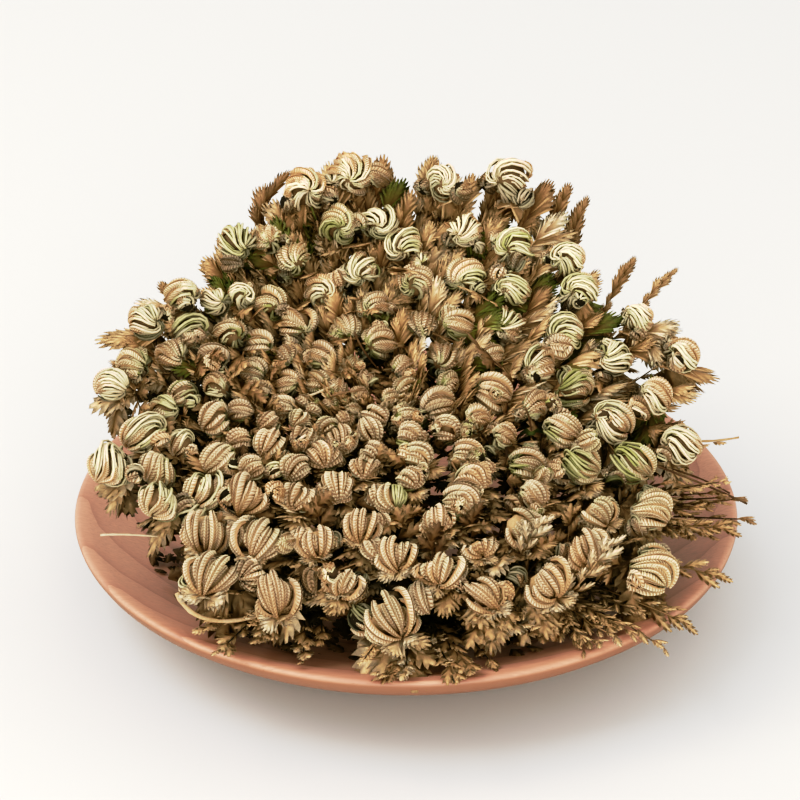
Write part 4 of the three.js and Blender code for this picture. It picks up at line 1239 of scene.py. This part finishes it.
def paint_shade_by_depth(points, values, owner, start, over, strength, crevice_shade):
    """Painted shade: the tone falls by strength as the distance from a shell's middle to the surface
    of the heads, measured on the line from the crown, grows from start on. Behind the heart the
    fronds stand upright in the light, and it falls a fifth as much; on the right it falls about
    half as much. It also falls by the crevice strength where a second head is near, and under a
    head, as more painted shade. Litter and straws keep their tone."""
    middle = points.mean(1)
    away = middle - CROWN
    nearest = np.argmax(unit(away) @ OUT.T, 1)
    depth = np.linalg.norm(CENTRE - CROWN, axis=1)[nearest] - np.linalg.norm(away, axis=1)
    less = (1 - 0.8 * ease((away[:, 1] + 10) / 50)) * (1 - 0.45 * ease((away[:, 0] - 15) / 40))
    apart = np.linalg.norm(middle[:, None] - CENTRE, axis=-1) / HEAD_SIZE
    own = np.argmin(apart, 1)
    two = np.partition(apart, 1, axis=1)[:, 1]
    under = np.sum((middle - CENTRE[own]) * OUT[own], -1) / HEAD_SIZE[own]
    close = ease((1.5 - two) / 0.45) + ease((0.15 - under) / 0.9)
    painted_shade = strength * less * ease((depth - start) / over) + crevice_shade * close
    values = values.copy()
    values[..., 2] -= col(painted_shade * (owner < LITTER))
    return values


def finish_mesh(name, points, corners, leaf, run, finish, materials, smooth=True):
    """A mesh object from arrays: corners in millimetres, triangles, leaf and run values at each
    corner, and the finish number of each triangle."""
    mesh = bpy.data.meshes.new(name)
    mesh.vertices.add(len(points))
    mesh.vertices.foreach_set("co", (points * MM).astype(np.float32).ravel())
    mesh.loops.add(corners.size)
    mesh.loops.foreach_set("vertex_index", corners.astype(np.int32).ravel())
    mesh.polygons.add(len(corners))
    mesh.polygons.foreach_set("loop_start", np.arange(0, corners.size, 3, dtype=np.int32))
    mesh.polygons.foreach_set("material_index", finish.astype(np.int32))
    mesh.update(calc_edges=True)
    mesh.polygons.foreach_set("use_smooth", np.broadcast_to(smooth, len(corners)))
    for label, values in (("leaf", leaf), ("run", np.pad(run, ((0, 0), (0, 1))))):
        held = mesh.attributes.new(label, "FLOAT_VECTOR", "POINT")
        held.data.foreach_set("vector", values.astype(np.float32).ravel())
    for material in materials:
        mesh.materials.append(material)
    made = bpy.data.objects.new(name, mesh)
    bpy.context.scene.collection.objects.link(made)
    return made


def keep_inside(shells):
    """Shells (m, v, 3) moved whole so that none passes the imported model's box."""
    above, below = np.maximum(shells.max(1) - HIGH, 0), np.maximum(LOW - shells.min(1), 0)
    return shells - above[:, None] + below[:, None]


# Painted shade by depth, in crevices and under heads goes into each shell's tone here.
BATCHES = [(p, t, paint_shade_by_depth(p, v, owner, *PAINTED_SHADE_BY_FINISH[kind]), r, kind, owner)
           for p, t, v, r, kind, owner in BATCHES]
total = []
for number, name in enumerate(["fine_" + name for name in NODES] + ["leaf_litter", "dry_straws"]):
    gathered, count = [], 0
    for p, template, values, runs, kind, owner in BATCHES:
        mine = owner == number
        m, v = int(mine.sum()), p.shape[1]
        if m:
            corners = template + count + v * np.arange(m)[:, None, None]
            gathered.append((keep_inside(p[mine]).reshape(-1, 3), corners.reshape(-1, 3),
                             values[mine].reshape(-1, 3), runs[mine].reshape(-1, 2),
                             np.full(m * len(template), kind)))
            count += m * v
    points, corners, leaf, run, finish = (np.concatenate(part) for part in zip(*gathered))
    made = finish_mesh(name, np.clip(points, LOW, HIGH), corners, leaf, run, finish, FINISHES,
                       smooth=finish != SCALES)
    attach(made, "root")
    if number < LITTER:
        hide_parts(NODES[number])
    total.append(len(made.data.polygons))
print("triangles on the fronds:", sum(total), " largest piece:", max(total))


# %% [markdown]
# ## The dish
# The dish is turned on a lathe, so its shape is one profile carried round a circle. The profile
# runs from the middle of the foot out and up the back, over the rim and down to the middle of
# the floor. More points sit where it bends, and the rim is rounded.

# %% Turn the dish
def turned(wide, height, sides, middle=(0.0, 0.0)):
    """Corners of rings about an upright line, one ring for each radius and height."""
    angle = 2 * PI * np.arange(sides) / sides
    x, y = middle[0] + wide * np.cos(angle), middle[1] + wide * np.sin(angle)
    return stacked(x.shape, x, y, col(height)).reshape(-1, 3)


BACK_PROFILE = [
    (0, 0.6), (20, 0.6), (43, 0.6), (44.5, 0.0), (47.5, 0.0), (48.3, 0.5), (48.8, 2.2), (50.5, 3.1), (58, 4.6),
    (67, 6.6), (76, 8.8), (87, 12.7), (97, 17.2), (104, 21.7), (108.4, 25.4), (109.6, 27.4), (110, 28.8),
    (109.7, 29.6), (109, 30), (108, 30), (107.3, 29.8),
]
FACE_RADII = np.array([106.2, 104, 101, 97, 93, 88, 83, 78, 72, 66, 60, 54, 48, 43, 38, 30, 20, 10, 0])
DISH_SIDES = 192
profile = np.concatenate([BACK_PROFILE, np.stack([FACE_RADII, dish_face(FACE_RADII)], -1)])
count = len(profile) - 2
s = np.arange(DISH_SIDES)
after, last_ring = (s + 1) % DISH_SIDES, (count - 1) * DISH_SIDES
corners = np.concatenate([
    walls(count, DISH_SIDES)[:, ::-1], stacked(s.shape, count * DISH_SIDES, after, s),
    stacked(s.shape, count * DISH_SIDES + 1, last_ring + s, last_ring + after)])
poles = [(0, 0, profile[0, 1]), (0, 0, profile[-1, 1])]
points = np.concatenate([turned(profile[1:-1, 0:1], profile[1:-1, 1], DISH_SIDES), poles])

# %% Finish the dish
dish_wood, tree, shader, place = new_material("dish_wood")
grain = add_node(tree, "ShaderNodeGroup", {"Place": place}, node_tree=wood_grain).outputs
base = ramp(tree, grain["Rings"], [(0.0, (188, 140, 119)), (0.6, (180, 132, 112)), (1.0, (166, 119, 101))])
base = shade(tree, base, maths(tree, "MULTIPLY_ADD", grain["Fibres"], 0.5, 0.75))
normal = add_node(tree, "ShaderNodeNewGeometry", {}).outputs["Normal"]
facing_up = add_node(tree, "ShaderNodeSeparateXYZ", {0: normal}).outputs["Z"]
# Painted shade: where the normal turns from up to sideways and down, on the outer wall and underside, the wood
# takes a darker brown.
base = blend(tree, maths(tree, "MULTIPLY_ADD", facing_up, -1.4, 0.9, clamp=True), base, colour(138, 98, 76))
base = blend(tree, maths(tree, "MULTIPLY", grain["Pores"], 0.35), base, colour(120, 78, 54))
wire(tree, shader, {"Base Color": base, "Normal": bump(tree, grain["Fibres"], 0.12),
                    "Roughness": maths(tree, "MULTIPLY_ADD", grain["Fibres"], 0.25, 0.36)})
dish = finish_mesh("turned_dish", points, corners, np.zeros((len(points), 3)), np.zeros((len(points), 2)),
                   np.zeros(len(corners)), [dish_wood])
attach(dish, "root")
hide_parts("wooden_dish")
print("dish triangles:", len(corners))

# %% [markdown]
# ## The crown
# All fronds leave one squat, dark crown: a knot of old stem bases that stands on the dish's
# floor. It hardly shows, so it is a turned form whose radius is broken up by waves.

# %% Shape the crown
CROWN_RINGS, CROWN_SIDES = 26, 48
CROWN_HEIGHTS, CROWN_RADII = [8.2, 13.3, 25, 32.5, 38, 40.8], [12, 14.5, 15.5, 14, 9, 1.0]
t = np.linspace(0, 1, CROWN_RINGS)
height = CROWN_HEIGHTS[0] + (CROWN_HEIGHTS[-1] - CROWN_HEIGHTS[0]) * t
angle = 2 * PI * np.arange(CROWN_SIDES) / CROWN_SIDES
lumps = 1.0 + 0.07 * np.sin(7 * angle + 3 * col(t)) + 0.05 * np.sin(17 * angle + 21 * col(t))
knobs = 0.9 + 0.1 * np.abs(np.sin(24 * col(t) + 2.5 * np.sin(3 * angle)))
wide = col(np.interp(height, CROWN_HEIGHTS, CROWN_RADII)) * lumps * knobs
points = turned(wide, height, CROWN_SIDES, CROWN[:2])
corners = tube_template(CROWN_RINGS, CROWN_SIDES)[:, ::-1]
leaf = stacked(wide.shape, 0.98, col(0.3 + 0.7 * draw(t * 90, 3)), 0.1).reshape(-1, 3)
run = stacked(wide.shape, col(height), 15 * np.cos(angle)).reshape(-1, 2)
crown = finish_mesh("fine_root_crown", points, corners, leaf, run, np.zeros(len(corners)), FINISHES[STEMS:])
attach(crown, "root")
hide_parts("root_crown")
print("crown triangles:", len(corners))

# %% Floor
floor_data = bpy.data.meshes.new("studio_floor")
floor_data.from_pydata([(-6, -3, 0), (6, -3, 0), (6, 9, 0), (-6, 9, 0)], [], [(0, 1, 2, 3)])
floor = bpy.data.objects.new("studio_floor", floor_data)
bpy.context.scene.collection.objects.link(floor)
floor_paint = bpy.data.materials.new("floor_paint")
floor_paint.use_nodes = True
tree = floor_paint.node_tree
wire(tree, tree.nodes["Principled BSDF"], {"Base Color": colour(215, 214, 211), "Roughness": 0.7})
floor_data.materials.append(floor_paint)
floor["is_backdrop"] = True

# %% Measure and finish
print("cad box", np.round(CAD_LOW, 4).tolist(), np.round(CAD_HIGH, 4).tolist())
